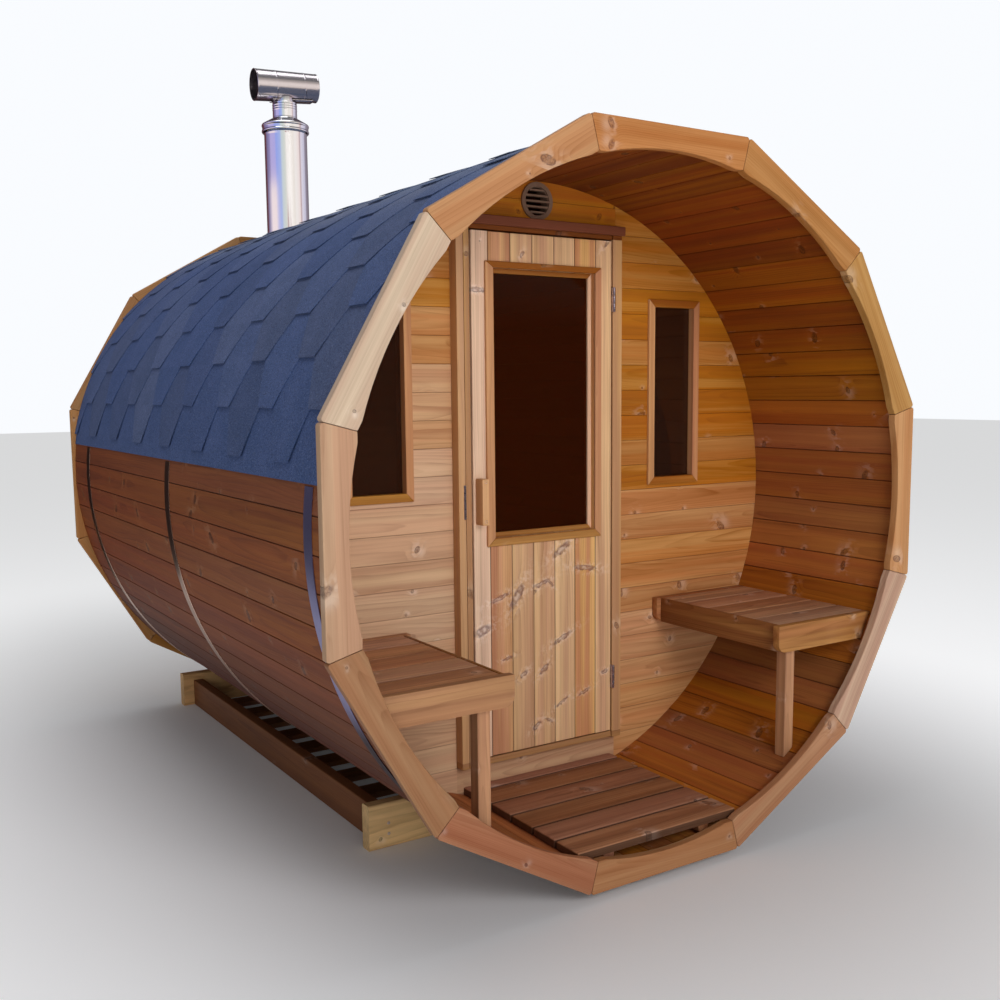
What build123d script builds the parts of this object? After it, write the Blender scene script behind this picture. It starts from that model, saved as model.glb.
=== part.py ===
from build123d import *
import math
import os

os.makedirs("parts", exist_ok=True)

# Barrel sauna with an open porch. Millimetres. +Z is up, the porch looks
# towards -Y, the origin is the middle of the footprint at ground level.

# ---- driving dimensions ----
RING_VERTEX_R = 1135.0      # outer corner radius of the twelve-sided end rings
RING_T = 28.0               # ring board thickness
RING_STRAIGHT = 998.8       # distance axis to the straight inner edge near each mitre
RING_ARC_R = 1027.2         # radius of the scooped inner edge
MITRE_GAP = 0.8             # open joint between two ring boards
RING_CORNER = 9.0           # rounding of each outer corner
LENGTH = 2782.0             # over both rings
AXIS_Z = 1124.0             # barrel axis above ground
STAVES = 70
STAVE_IN = 1052.0           # barrel radius inside
STAVE_OUT = 1088.0          # barrel radius outside
JOINT_0 = -8.386            # angle of the first stave joint
STAVES_PER_PANEL = 10

PORCH_DEPTH = 688.0         # ring face to front wall
WALL_T = 42.0
BACK_INSET = 45.0           # end of staves to back wall

ROOF_T = 5.0
ROOF_EDGE_DEG = 7.2         # roof edge above the horizontal

BAND_W = 50.0
BAND_T = 2.0
BAND_Y = (110.0, 1322.0, 2497.0)   # band centres behind the front ring face

DOOR_X0, DOOR_X1 = -281.5, 290.5
DOOR_Z0, DOOR_Z1 = -876.0, 870.0   # measured from the barrel axis
DOOR_T = 40.0
DOOR_FACE = 650.0                  # behind the ring face
FRAME_FACE = 648.0
FRAME_X0, FRAME_X1 = -338.0, 336.0
GAP_STRIKE, GAP_HINGE = 7.5, 5.5
HINGE_X, HINGE_Y = 293.5, 640.0

WIN_X0, WIN_X1 = 487.0, 729.0
WIN_Z0, WIN_Z1 = 10.0, 682.0
WIN_TRIM = 27.0

BENCH_TOP = -415.0
BENCH_END = 518.0
FLOOR_TOP = -977.0
FLOOR_HALF = 313.0

YF = -LENGTH / 2.0
RING_APOTHEM = RING_VERTEX_R * math.cos(math.radians(15))


def put(shape, name):
    shape.label = name
    export_step(shape, "parts/" + name + ".step")


def box(x0, x1, y0, y1, z0, z1):
    """Box from barrel coordinates: y from the front ring face, z from the axis."""
    return Pos((x0 + x1) / 2, YF + (y0 + y1) / 2, AXIS_Z + (z0 + z1) / 2) * Box(
        abs(x1 - x0), abs(y1 - y0), abs(z1 - z0))


def pol(r, deg):
    a = math.radians(deg)
    return r * math.cos(a), r * math.sin(a)


def prism(pts, y0, y1):
    """Prism of an X-Z outline running from y0 to y1 behind the ring face."""
    p3 = [(x, YF + y0, AXIS_Z + z) for x, z in pts]
    wire = Polyline(*p3, close=True)
    return extrude(make_face(wire), amount=y1 - y0, dir=(0, 1, 0))


def prism_edges(edges, y0, y1):
    return extrude(make_face(Wire(edges)), amount=y1 - y0, dir=(0, 1, 0))


def p3(x, z, y=0.0):
    return (x, YF + y, AXIS_Z + z)


def cyl_y(r, y0, y1, x=0.0, z=0.0):
    """Cylinder along Y."""
    return Pos(x, YF + (y0 + y1) / 2, AXIS_Z + z) * (Rot(90, 0, 0) * Cylinder(r, y1 - y0))


def cyl_z(r, z0, z1, x, y):
    return Pos(x, YF + y, AXIS_Z + (z0 + z1) / 2) * Cylinder(r, z1 - z0)


def group(solids):
    return Compound(children=list(solids))


CH_X, CH_Y = -252.0, 2235.0                 # chimney axis
CH_R = 91.0

# ---- barrel of staves, seven panels of ten staves ----
step = 360.0 / STAVES
half = math.radians(step / 2)
S0, S1 = RING_T, LENGTH - RING_T
panels = STAVES // STAVES_PER_PANEL
for i in range(panels):
    a0 = JOINT_0 + i * STAVES_PER_PANEL * step
    angs = [a0 + k * step for k in range(STAVES_PER_PANEL + 1)]
    outer = [pol(STAVE_OUT / math.cos(half), a) for a in angs]
    inner = [pol(STAVE_IN / math.cos(half), a) for a in reversed(angs)]
    panel = prism(outer + inner, S0, S1)
    if angs[0] < 100 < angs[-1]:
        panel -= cyl_z(CH_R + 1, 900, 1200, CH_X, CH_Y)     # hole for the flue
    put(panel, "stave_panel_%02d" % (i + 1))


# ---- end rings, twelve mitred boards each ----
def ring_board(mid, y0):
    g = math.degrees(MITRE_GAP / 2 / RING_VERTEX_R)
    a0, a1 = mid - 15 + g, mid + 15 - g
    ra = RING_APOTHEM / math.cos(math.radians(15 - g))
    ri = RING_STRAIGHT / math.cos(math.radians(15 - g))
    da = math.degrees(math.acos(RING_STRAIGHT / RING_ARC_R))
    o0, o1 = pol(ra, a0), pol(ra, a1)
    i0, i1 = pol(ri, a0), pol(ri, a1)
    c0, c1 = pol(RING_ARC_R, mid - da), pol(RING_ARC_R, mid + da)
    cm = pol(RING_ARC_R, mid)
    e = [Line(p3(*o0, y0), p3(*o1, y0)), Line(p3(*o1, y0), p3(*i1, y0)),
         Line(p3(*i1, y0), p3(*c1, y0)),
         ThreePointArc(p3(*c1, y0), p3(*cm, y0), p3(*c0, y0)),
         Line(p3(*c0, y0), p3(*i0, y0)), Line(p3(*i0, y0), p3(*o0, y0))]
    board = prism_edges(e, y0, y0 + RING_T)
    corners = board.edges().filter_by(Axis.Y).sort_by(
        lambda q: math.hypot(q.center().X, q.center().Z - AXIS_Z))[-2:]
    return fillet(corners, RING_CORNER)


put(group(ring_board(30 * k, 0.0) for k in range(12)), "front_ring")
put(group(ring_board(30 * k, LENGTH - RING_T) for k in range(12)), "back_ring")


# ---- roofing sheet over the upper half ----
def arc_sheet(r0, r1, a0, a1, y0, y1):
    am = (a0 + a1) / 2
    e = [ThreePointArc(p3(*pol(r1, a0), y0), p3(*pol(r1, am), y0), p3(*pol(r1, a1), y0)),
         Line(p3(*pol(r1, a1), y0), p3(*pol(r0, a1), y0)),
         ThreePointArc(p3(*pol(r0, a1), y0), p3(*pol(r0, am), y0), p3(*pol(r0, a0), y0)),
         Line(p3(*pol(r0, a0), y0), p3(*pol(r1, a0), y0))]
    return prism_edges(e, y0, y1)


SKIN = STAVE_OUT / math.cos(half) + 0.1     # just outside the stave corners
roof = arc_sheet(SKIN, SKIN + ROOF_T - 1.0, ROOF_EDGE_DEG, 180 - ROOF_EDGE_DEG,
                 RING_T + 0.5, LENGTH - RING_T - 0.5)
roof -= cyl_z(CH_R + 2, 800, 1300, CH_X, CH_Y)
put(roof, "roof_shingles")

# ---- steel bands under the roof edge ----
bands = []
for yc in BAND_Y:
    bands.append(arc_sheet(SKIN, SKIN + BAND_T, 180 - ROOF_EDGE_DEG + 0.3,
                           360 + ROOF_EDGE_DEG - 0.3, yc - BAND_W / 2, yc + BAND_W / 2))
put(group(bands), "steel_bands")

# ---- ground frame: two notched cross beams, two bearers, cross slats ----
BEAM_H = 152.0
BEAM_HALF = 667.0
for name, y0 in (("cradle_beam_front", 692.0), ("cradle_beam_rear", 2694.0)):
    b = box(-BEAM_HALF, BEAM_HALF, y0, y0 + 50, -AXIS_Z, -AXIS_Z + BEAM_H)
    b = fillet(b.edges().filter_by(Axis.X), 9)
    b -= cyl_y(SKIN + 0.2, y0 - 5, y0 + 55)
    put(b, name)
BEARER_OUT, BEARER_IN = 618.0, 573.0
for name, s in (("bearer_left", -1), ("bearer_right", 1)):
    xa, xb = sorted((s * BEARER_OUT, s * BEARER_IN))
    b = box(xa, xb, 742, 2694, -AXIS_Z, -AXIS_Z + 120)
    put(fillet(b.edges().filter_by(Axis.Y), 4), name)
SLAT_Y = [1108 + 202 * k for k in range(8)]
put(group(box(-BEARER_IN, BEARER_IN, y, y + 95, -AXIS_Z, -AXIS_Z + 22) for y in SLAT_Y),
    "base_slats")

# ---- front wall, split round the doorway ----
W0, W1 = PORCH_DEPTH, PORCH_DEPTH + WALL_T
HEAD_Z0 = DOOR_Z1 + 6.0
HEAD_Z1 = HEAD_Z0 + 42.0
SILL_Z1 = DOOR_Z0 - 6.0
SILL_Z0 = SILL_Z1 - 22.0
disc = cyl_y(STAVE_IN, W0, W1)
BIG = 1300.0
win_hole_in = WIN_TRIM - 12.0       # the frame box stands this far inside the trim edge


def win_hole(s):
    xa, xb = sorted((s * (WIN_X0 + win_hole_in), s * (WIN_X1 - win_hole_in)))
    return box(xa, xb, W0 - 10, W1 + 10, WIN_Z0 + win_hole_in, WIN_Z1 - win_hole_in)


left = disc & box(-BIG, FRAME_X0, W0 - 1, W1 + 1, -BIG, BIG)
right = disc & box(FRAME_X1, BIG, W0 - 1, W1 + 1, -BIG, BIG)
put(left - win_hole(-1), "front_wall_left")
put(right - win_hole(1), "front_wall_right")
VENT_Z, VENT_R = 986.0, 62.0
top = disc & box(FRAME_X0, FRAME_X1, W0 - 1, W1 + 1, HEAD_Z1, BIG)
top -= cyl_y(50, W0 - 10, W1 + 10, 0, VENT_Z)
put(top, "front_wall_top")
put(disc & box(FRAME_X0, FRAME_X1, W0 - 1, W1 + 1, -BIG, SILL_Z0), "front_wall_sill")

# ---- back wall ----
B1 = LENGTH - RING_T - BACK_INSET
put(cyl_y(STAVE_IN, B1 - WALL_T, B1), "back_wall")

# ---- door frame: jambs, head and threshold with a stop behind the leaf ----
JL = DOOR_X0 - GAP_STRIKE
JR = DOOR_X1 + GAP_HINGE
stop_y = DOOR_FACE + DOOR_T + 6.0
frame = box(FRAME_X0, JL, FRAME_FACE + 12, W1, SILL_Z0, HEAD_Z1)
frame += box(FRAME_X0, JL - 23, FRAME_FACE, W1, SILL_Z0, HEAD_Z1)      # left jamb board
frame += box(JL - 20, JL, FRAME_FACE + 2, W1, SILL_Z0, HEAD_Z1)        # strip beside the leaf
frame += box(JR, FRAME_X1, FRAME_FACE, W1, SILL_Z0, HEAD_Z1)
frame += box(FRAME_X0, FRAME_X1, FRAME_FACE + 8, W1, HEAD_Z0, HEAD_Z1)
frame += box(FRAME_X0, FRAME_X1, FRAME_FACE + 8, W1, SILL_Z0, SILL_Z1)
frame += box(JL - 1, JL + 14, stop_y, W1, SILL_Z1 - 1, HEAD_Z0 + 1)
frame += box(JR - 14, JR + 1, stop_y, W1, SILL_Z1 - 1, HEAD_Z0 + 1)
frame += box(JL, JR, stop_y, W1, HEAD_Z0 - 14, HEAD_Z0 + 1)
put(frame, "door_frame")
head = box(FRAME_X0 - 3, FRAME_X1 + 3, FRAME_FACE - 14, FRAME_FACE, HEAD_Z0 + 13, HEAD_Z1 + 2)
put(fillet(head.edges().filter_by(Axis.X), 3), "door_head_board")

# ---- door leaf with its glass, trim, handle and hinges ----
GL_X0, GL_X1, GL_Z0, GL_Z1 = -187.0, 197.0, -112.0, 740.0     # clear glass
TRIM_OX0, TRIM_OX1, TRIM_OZ0, TRIM_OZ1 = -233.0, 240.0, -155.0, 776.0
STEP = 16.0                 # the glazing bead shows this much inside the trim
leaf = box(DOOR_X0, DOOR_X1, DOOR_FACE, DOOR_FACE + DOOR_T, DOOR_Z0, DOOR_Z1)
leaf -= box(GL_X0 - STEP, GL_X1 + STEP, DOOR_FACE - 10, DOOR_FACE + DOOR_T + 10,
            GL_Z0 - STEP, GL_Z1 + STEP)
put(leaf, "door_leaf")
put(box(GL_X0 - STEP, GL_X1 + STEP, DOOR_FACE + 23, DOOR_FACE + 29, GL_Z0 - STEP,
        GL_Z1 + STEP), "door_glass")


def frame_strip(ox0, ox1, oz0, oz1, ix0, ix1, iz0, iz1, y0, y1):
    return box(ox0, ox1, y0, y1, oz0, oz1) - box(ix0, ix1, y0 - 5, y1 + 5, iz0, iz1)


trim = frame_strip(TRIM_OX0, TRIM_OX1, TRIM_OZ0, TRIM_OZ1, GL_X0 - STEP, GL_X1 + STEP,
                   GL_Z0 - STEP, GL_Z1 + STEP, DOOR_FACE - 10, DOOR_FACE)
out_bead = frame_strip(GL_X0 - STEP, GL_X1 + STEP, GL_Z0 - STEP, GL_Z1 + STEP, GL_X0, GL_X1,
                       GL_Z0, GL_Z1, DOOR_FACE + 14, DOOR_FACE + 23)
in_bead = frame_strip(GL_X0 - STEP, GL_X1 + STEP, GL_Z0 - STEP, GL_Z1 + STEP, GL_X0, GL_X1,
                      GL_Z0, GL_Z1, DOOR_FACE + 29, DOOR_FACE + DOOR_T)
put(group([trim, out_bead, in_bead]), "door_glass_trim")    # trim, outer and inner bead

HX0, HX1, HZ0, HZ1 = -274.0, -249.0, -78.0, 74.0
handle = box(HX0, HX1, DOOR_FACE - 45, DOOR_FACE, HZ0, HZ1)
handle = fillet(handle.edges().filter_by(Axis.Z), 2.5)
put(handle, "door_handle")

HINGE_H = 83.0
HINGE_Z = (670.5, -674.5)
KN_R = 6.0
FLAP = 36.0                 # depth of the hinge flaps let into the gap beside the leaf
fixed, moving = [], []
for zc in HINGE_Z:
    third = HINGE_H / 3
    half_h = HINGE_H / 2 - 0.6
    flap = box(JR - 2, JR, FRAME_FACE, FRAME_FACE + FLAP, zc - half_h, zc + half_h)
    for k in (-1, 1):
        z0 = zc + k * third - third / 2 + 0.6
        flap += cyl_z(KN_R, z0, z0 + third - 1.2, HINGE_X, HINGE_Y)
        flap += box(JR - 2, JR, HINGE_Y + 2, FRAME_FACE + 1, z0, z0 + third - 1.2)
    fixed.append(flap)
    flap = box(DOOR_X1, DOOR_X1 + 2, DOOR_FACE, DOOR_FACE + FLAP, zc - half_h, zc + half_h)
    z0 = zc - third / 2 + 0.6
    flap += cyl_z(KN_R, z0, z0 + third - 1.2, HINGE_X, HINGE_Y)
    flap += box(DOOR_X1, DOOR_X1 + 2, HINGE_Y + 2, DOOR_FACE + 1, z0, z0 + third - 1.2)
    moving.append(flap)
put(group(fixed), "hinge_frame_halves")
put(group(moving), "hinge_leaf_halves")
put(box(JL - 31, JL - 23, FRAME_FACE - 2, FRAME_FACE, -58, 54), "latch_strike")


# ---- windows ----
def window(s, name):
    o = [s * WIN_X0, s * WIN_X1]
    ox0, ox1 = min(o), max(o)
    ix0, ix1 = ox0 + WIN_TRIM, ox1 - WIN_TRIM
    iz0, iz1 = WIN_Z0 + WIN_TRIM, WIN_Z1 - WIN_TRIM
    hx0, hx1 = ox0 + win_hole_in, ox1 - win_hole_in
    hz0, hz1 = WIN_Z0 + win_hole_in, WIN_Z1 - win_hole_in
    f = frame_strip(ox0, ox1, WIN_Z0, WIN_Z1, ix0, ix1, iz0, iz1, W0 - 12, W0)
    f += frame_strip(hx0, hx1, hz0, hz1, ix0, ix1, iz0, iz1, W0 - 1, W1)
    f -= box(ix0 - 7, ix1 + 7, W0 + 18, W0 + 24, iz0 - 7, iz1 + 7)
    put(f, name + "_frame")
    put(box(ix0 - 7, ix1 + 7, W0 + 18, W0 + 24, iz0 - 7, iz1 + 7), name + "_glass")


window(-1, "window_left")
window(1, "window_right")

# ---- round vent with louvres ----
vent = cyl_y(VENT_R, W0 - 8, W0, 0, VENT_Z) - cyl_y(VENT_R - 14, W0 - 20, W0 + 5, 0, VENT_Z)
vent += cyl_y(49.8, W0 - 1, W1 - 4, 0, VENT_Z) - cyl_y(46, W0 - 20, W1 + 5, 0, VENT_Z)
for k in range(5):
    z = VENT_Z - 36 + 18 * k
    w = math.sqrt(49.0 ** 2 - max(abs(z - VENT_Z + 3), abs(z - VENT_Z - 3)) ** 2)
    blade = box(-w, w, W0 - 6, W0 + 10, z - 3, z + 3)
    vent += blade
put(vent, "wall_vent")


# ---- slatted floors on bearers ----
def slat_floor(y0, n, pitch, width, half_w, name, last=0.0, bearer_x=190.0):
    t, bh = 26.0, 44.0
    deck = None
    y1 = y0 + n * pitch - (pitch - width) if not last else y0 + n * pitch + last
    for s in (-1, 1):
        zb = -math.sqrt(STAVE_IN ** 2 - (bearer_x + 20) ** 2) + 0.5
        b = box(s * bearer_x - 20, s * bearer_x + 20, y0 + 12, y1 - 12,
                max(zb, FLOOR_TOP - t - bh), FLOOR_TOP - t)
        deck = b if deck is None else deck + b
    for k in range(n):
        deck += box(-half_w, half_w, y0 + k * pitch, y0 + k * pitch + width,
                    FLOOR_TOP - t, FLOOR_TOP)
    if last:
        deck += box(-half_w, half_w, y0 + n * pitch, y1, FLOOR_TOP - t, FLOOR_TOP)
    put(deck, name)


slat_floor(38.0, 5, 120.0, 108.0, FLOOR_HALF, "porch_floor", last=48.0)
slat_floor(W1 + 6, 16, 120.0, 108.0, FLOOR_HALF, "inside_floor")


# ---- porch benches ----
def bench(s, side):
    t_slat, h_rail, t_rail = 25.0, 65.0, 28.0
    zt = BENCH_TOP - t_slat

    def clip(x0, x1, y0, y1, z0, z1):
        xa, xb = sorted((s * x0, s * x1))
        return box(xa, xb, y0, y1, z0, z1) & cyl_y(STAVE_IN - 0.4, y0 - 1, y1 + 1)

    y_front, y_back = 53.0, W0 - 0.5
    f = clip(BENCH_END, 1200, y_front, y_front + t_rail, zt - h_rail, zt)
    r = clip(BENCH_END, 1200, y_back - t_rail, y_back, zt - h_rail, zt)
    a = clip(BENCH_END + 18, BENCH_END + 46, y_front + t_rail, y_back - t_rail,
             zt - h_rail, zt)
    seat = f + r + a
    n = 6
    pitch = (y_back - y_front + 9.0) / n
    for k in range(n):
        ya = y_front + k * pitch
        seat += clip(BENCH_END, 1200, ya, ya + pitch - 9.0, zt, BENCH_TOP)
    put(seat, "bench_" + side)
    lx0, lx1 = BENCH_END + 64, BENCH_END + 105
    leg = clip(lx0, lx1, y_front + t_rail, y_front + t_rail + 42, -1200, zt)
    put(leg, "bench_leg_" + side)


bench(-1, "left")
bench(1, "right")

# ---- chimney through the roof, open at the ceiling ----
CH_BASE, CH_TOP = 978.0, 1467.0
pipe = cyl_z(CH_R, CH_BASE, CH_TOP, CH_X, CH_Y) - cyl_z(58, CH_BASE - 5, CH_TOP + 5, CH_X, CH_Y)
put(pipe, "chimney_pipe")


def revolve_profile(pts):
    """Ring turned about the chimney axis from (radius, height) points."""
    p = [(CH_X + r, YF + CH_Y, AXIS_Z + z) for r, z in pts]
    face = make_face(Polyline(*p, close=True))
    return revolve(face, Axis((CH_X, YF + CH_Y, 0), (0, 0, 1)), 360)


CONE_R, NECK_Z = 101.0, 1533.0
put(revolve_profile([(CH_R + 1, CH_TOP), (CONE_R, CH_TOP + 7), (CONE_R, 1507.0), (53.0, NECK_Z),
                     (49.0, NECK_Z), (49.0, CH_TOP)]), "chimney_cone")
# tapered cowl lying across the neck, open at both ends and leaning a little
COWL_Z, COWL_L, COWL_R0, COWL_R1 = 1669.0, 274.0, 65.0, 59.0
COWL_TURN, COWL_LEAN = -4.5, -3.0
COWL_AT = Pos(CH_X + 4, YF + CH_Y, AXIS_Z + COWL_Z) * Rot(0, 0, COWL_TURN) * Rot(0, 90 + COWL_LEAN, 0)
cowl_body = COWL_AT * Cone(COWL_R0, COWL_R1, COWL_L)
cowl = cowl_body - COWL_AT * Cone(COWL_R0 - 2.5, COWL_R1 - 2.5, COWL_L)
cowl -= cyl_z(48.5, 1570.0, COWL_Z - 10, CH_X, CH_Y)
put(cowl, "chimney_cowl")
neck = cyl_z(52.0, NECK_Z, COWL_Z - 10, CH_X, CH_Y) - cyl_z(48.5, NECK_Z - 5, COWL_Z, CH_X, CH_Y)
put(neck - cowl_body, "chimney_neck")
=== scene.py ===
import math
import random

import bmesh
import bpy
from mathutils import Matrix, Vector


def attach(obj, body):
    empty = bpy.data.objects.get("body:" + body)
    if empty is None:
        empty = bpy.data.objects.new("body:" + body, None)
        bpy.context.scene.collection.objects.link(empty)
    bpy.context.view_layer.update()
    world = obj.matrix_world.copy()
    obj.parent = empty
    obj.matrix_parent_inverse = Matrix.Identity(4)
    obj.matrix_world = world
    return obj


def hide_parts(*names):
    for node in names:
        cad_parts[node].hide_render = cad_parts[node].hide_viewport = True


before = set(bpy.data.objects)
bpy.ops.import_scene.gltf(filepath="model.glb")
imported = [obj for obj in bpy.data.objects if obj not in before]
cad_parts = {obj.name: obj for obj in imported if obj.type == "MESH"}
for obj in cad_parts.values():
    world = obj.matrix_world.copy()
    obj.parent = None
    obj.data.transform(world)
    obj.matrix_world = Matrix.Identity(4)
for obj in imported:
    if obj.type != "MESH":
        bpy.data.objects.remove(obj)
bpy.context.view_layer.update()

RND = random.Random(7)
FRONT, AXIS = -1.391, 1.124        # ring face and barrel axis, metres
CX, CY = -0.252, 2.235             # chimney axis, behind the ring face


def P(x, y, z):
    """Millimetres from the ring face and the barrel axis, to metres in the frame."""
    return Vector((x / 1000.0, y / 1000.0 + FRONT, z / 1000.0 + AXIS))


def pol(r, deg, y):
    a = math.radians(deg)
    return P(r * math.cos(a), y, r * math.sin(a))


X, Y, Z = Vector((1, 0, 0)), Vector((0, 1, 0)), Vector((0, 0, 1))


# ------------------------------------------------------------------ camera and studio
def aim(obj, target):
    obj.rotation_euler = (Vector(target) - obj.location).to_track_quat("-Z", "Y").to_euler()


def make_camera():
    yaw, pitch, roll = (math.radians(a) for a in (33.04, -6.87, -0.49))
    fwd = Vector((math.sin(yaw) * math.cos(pitch), math.cos(yaw) * math.cos(pitch), math.sin(pitch)))
    right = Vector((math.cos(yaw), -math.sin(yaw), 0.0))
    up = right.cross(fwd)
    r2 = right * math.cos(roll) + up * math.sin(roll)
    u2 = up * math.cos(roll) - right * math.sin(roll)
    cam = bpy.data.objects.new("camera", bpy.data.cameras.new("camera"))
    bpy.context.scene.collection.objects.link(cam)
    m = Matrix((r2, u2, -fwd)).transposed().to_4x4()
    m.translation = Vector((-2.1315, -3.7904, 1.4906))
    cam.matrix_world = m
    cam.data.sensor_fit = "HORIZONTAL"
    cam.data.sensor_width = 36.0
    cam.data.lens = 36.0 * 1092.6 / 1000.0
    cam.data.shift_x = -0.008
    cam.data.shift_y = 0.0201
    cam.data.clip_start = 0.05
    bpy.context.scene.camera = cam
    return cam


def area(name, loc, target, size, power, color=(1, 1, 1)):
    d = bpy.data.lights.new(name, "AREA")
    d.shape = "RECTANGLE"
    d.size, d.size_y = size
    d.energy = power
    d.color = color
    o = bpy.data.objects.new(name, d)
    bpy.context.scene.collection.objects.link(o)
    o.location = loc
    aim(o, target)
    return o


def mirror_room():
    """A curved reflector round the flue, seen only in gloss: soft upright bands of lilac, pale
    grey, cream and rose, darker behind, and dark below the height of the roof."""
    cx, cy = CX, CY + FRONT
    stops = [(44, (0.20, 0.17, 0.20)), (98, (0.10, 0.05, 0.06)), (116, (0.16, 0.05, 0.06)), (124, (0.20, 0.17, 0.30)), (148, (0.30, 0.26, 0.50)),
             (160, (0.52, 0.46, 0.80)), (186, (0.50, 0.46, 0.84)), (194, (0.36, 0.44, 0.92)), (216, (0.42, 0.52, 0.90)), (226, (0.66, 0.74, 0.76)),
             (240, (0.74, 0.78, 0.72)), (250, (1.0, 0.96, 0.90)), (284, (0.94, 0.88, 0.80)), (296, (1.0, 0.95, 0.90)), (318, (0.98, 0.86, 0.82)),
             (326, (0.58, 0.42, 0.42)), (334, (0.80, 0.76, 0.86)), (356, (0.66, 0.64, 0.78)), (370, (0.30, 0.26, 0.32)), (404, (0.20, 0.17, 0.20))]

    def tone(az):
        for (a0, c0), (a1, c1) in zip(stops[:-1], stops[1:]):
            if a0 <= az <= a1:
                t = (az - a0) / (a1 - a0)
                t = t * t * (3 - 2 * t)
                return [p + (q - p) * t for p, q in zip(c0, c1)]
        return stops[0][1]
    me = bpy.data.meshes.new("mirror_room")
    rows = (0.02, 1.2, 1.75, 2.2, 2.4, 2.5, 2.6, 2.65, 2.7, 2.75, 2.8, 2.85, 2.9, 3.0, 3.2, 3.6, 4.2, 4.8)
    n, rad = 120, 2.4
    vs, fs, cs = [], [], []
    for i in range(n):
        az = 44 + 360.0 * i / n
        c = tone(az)
        rose = min(1.0, 1.25 * math.exp(-((az - 172) / 26.0) ** 2))
        red = math.exp(-((az - 249) / 3.5) ** 2) + 0.6 * math.exp(-((az - 262) / 2.5) ** 2)
        for z in rows:
            vs.append((cx + rad * math.cos(math.radians(az)), cy + rad * math.sin(math.radians(az)), z))
            low = max(0.0, min(1.0, (2.86 - z) / 0.12)) * rose
            mark = max(0.0, min(1.0, (2.72 - z) / 0.2)) * red
            top = max(0.0, min(1.0, (z - 3.3) / 1.0))
            k = (1.0 - 0.55 * top) * (1.0 - 0.96 * max(0.0, min(1.0, (2.3 - z) / 0.5)))
            cl = [k * (a + (b - a) * low) for a, b in zip(c, (1.0, 0.86, 0.86))]
            cs.append(tuple(a + (b - a) * min(0.85, mark) for a, b in zip(cl, (0.35, 0.12, 0.14))) + (1.0,))
    m = len(rows)
    for i in range(n):
        for j in range(m - 1):
            a, b = i * m + j, ((i + 1) % n) * m + j
            fs.append((a, b, b + 1, a + 1))
    me.from_pydata(vs, [], fs)
    att = me.color_attributes.new("tone", "FLOAT_COLOR", "POINT")
    att.data.foreach_set("color", [q for c in cs for q in c])
    me.polygons.foreach_set("use_smooth", [True] * len(fs))
    mat = bpy.data.materials.new("mirror_room")
    mat.use_nodes = True
    nt = mat.node_tree
    nt.nodes.clear()
    at = nt.nodes.new("ShaderNodeAttribute")
    at.attribute_name = "tone"
    e = nt.nodes.new("ShaderNodeEmission")
    nt.links.new(at.outputs["Color"], e.inputs["Color"])
    out = nt.nodes.new("ShaderNodeOutputMaterial")
    nt.links.new(e.outputs[0], out.inputs[0])
    me.materials.append(mat)
    o = bpy.data.objects.new("mirror_room", me)
    bpy.context.scene.collection.objects.link(o)
    o.visible_camera = False
    o.visible_diffuse = False
    o.visible_shadow = False
    o.visible_transmission = False


def studio():
    w = bpy.context.scene.world or bpy.data.worlds.new("world")
    bpy.context.scene.world = w
    w.use_nodes = True
    bg = w.node_tree.nodes.get("Background")
    bg.inputs["Color"].default_value = (0.95, 0.97, 1.0, 1)
    path = w.node_tree.nodes.new("ShaderNodeLightPath")
    rng = w.node_tree.nodes.new("ShaderNodeMapRange")
    rng.inputs[3].default_value = 0.20
    rng.inputs[4].default_value = 1.0
    w.node_tree.links.new(path.outputs["Is Camera Ray"], rng.inputs[0])
    w.node_tree.links.new(rng.outputs[0], bg.inputs["Strength"])
    area("key", (-0.6, -7.2, 3.9), (0.0, -0.6, 0.9), (3.2, 2.4), 170, (0.99, 0.98, 1.0))
    area("low", (-1.6, -7.0, 1.1), (0.0, -0.6, 0.9), (4.2, 1.6), 82, (1.0, 0.98, 0.97))
    area("fill", (-6.5, -3.0, 3.8), (-0.4, 0.0, 1.2), (3.0, 3.0), 8, (0.93, 0.96, 1.0))
    area("top", (-1.0, 0.5, 7.0), (0.0, 0.0, 1.0), (4.5, 4.5), 140, (0.95, 0.97, 1.0))
    mirror_room()
    me = bpy.data.meshes.new("floor")
    me.from_pydata([(-40, -40, 0), (40, -40, 0), (40, 40, 0), (-40, 40, 0)], [], [(0, 1, 2, 3)])
    fl = bpy.data.objects.new("floor", me)
    bpy.context.scene.collection.objects.link(fl)
    fl.location.z = -0.0005
    mat = bpy.data.materials.new("floor")
    mat.use_nodes = True
    b = mat.node_tree.nodes["Principled BSDF"]
    b.inputs["Base Color"].default_value = (0.86, 0.86, 0.86, 1)
    b.inputs["Roughness"].default_value = 0.9
    b.inputs["Emission Color"].default_value = (1.0, 1.0, 1.0, 1)
    # a lit sweep: the floor brightens away from the object, so it joins the pale backdrop
    nt = mat.node_tree
    tc = nt.nodes.new("ShaderNodeTexCoord")
    mp = nt.nodes.new("ShaderNodeMapping")
    mp.inputs["Scale"].default_value = (1.0, 0.62, 1.0)
    ln = nt.nodes.new("ShaderNodeVectorMath")
    ln.operation = "LENGTH"
    mr = nt.nodes.new("ShaderNodeMapRange")
    mr.interpolation_type = "SMOOTHSTEP"
    mr.inputs[1].default_value = 0.9
    mr.inputs[2].default_value = 3.2
    mr.inputs[3].default_value = 0.02
    mr.inputs[4].default_value = 0.52
    nt.links.new(tc.outputs["Object"], mp.inputs["Vector"])
    nt.links.new(mp.outputs[0], ln.inputs[0])
    nt.links.new(ln.outputs["Value"], mr.inputs[0])
    nt.links.new(mr.outputs[0], b.inputs["Emission Strength"])
    me.materials.append(mat)


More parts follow.
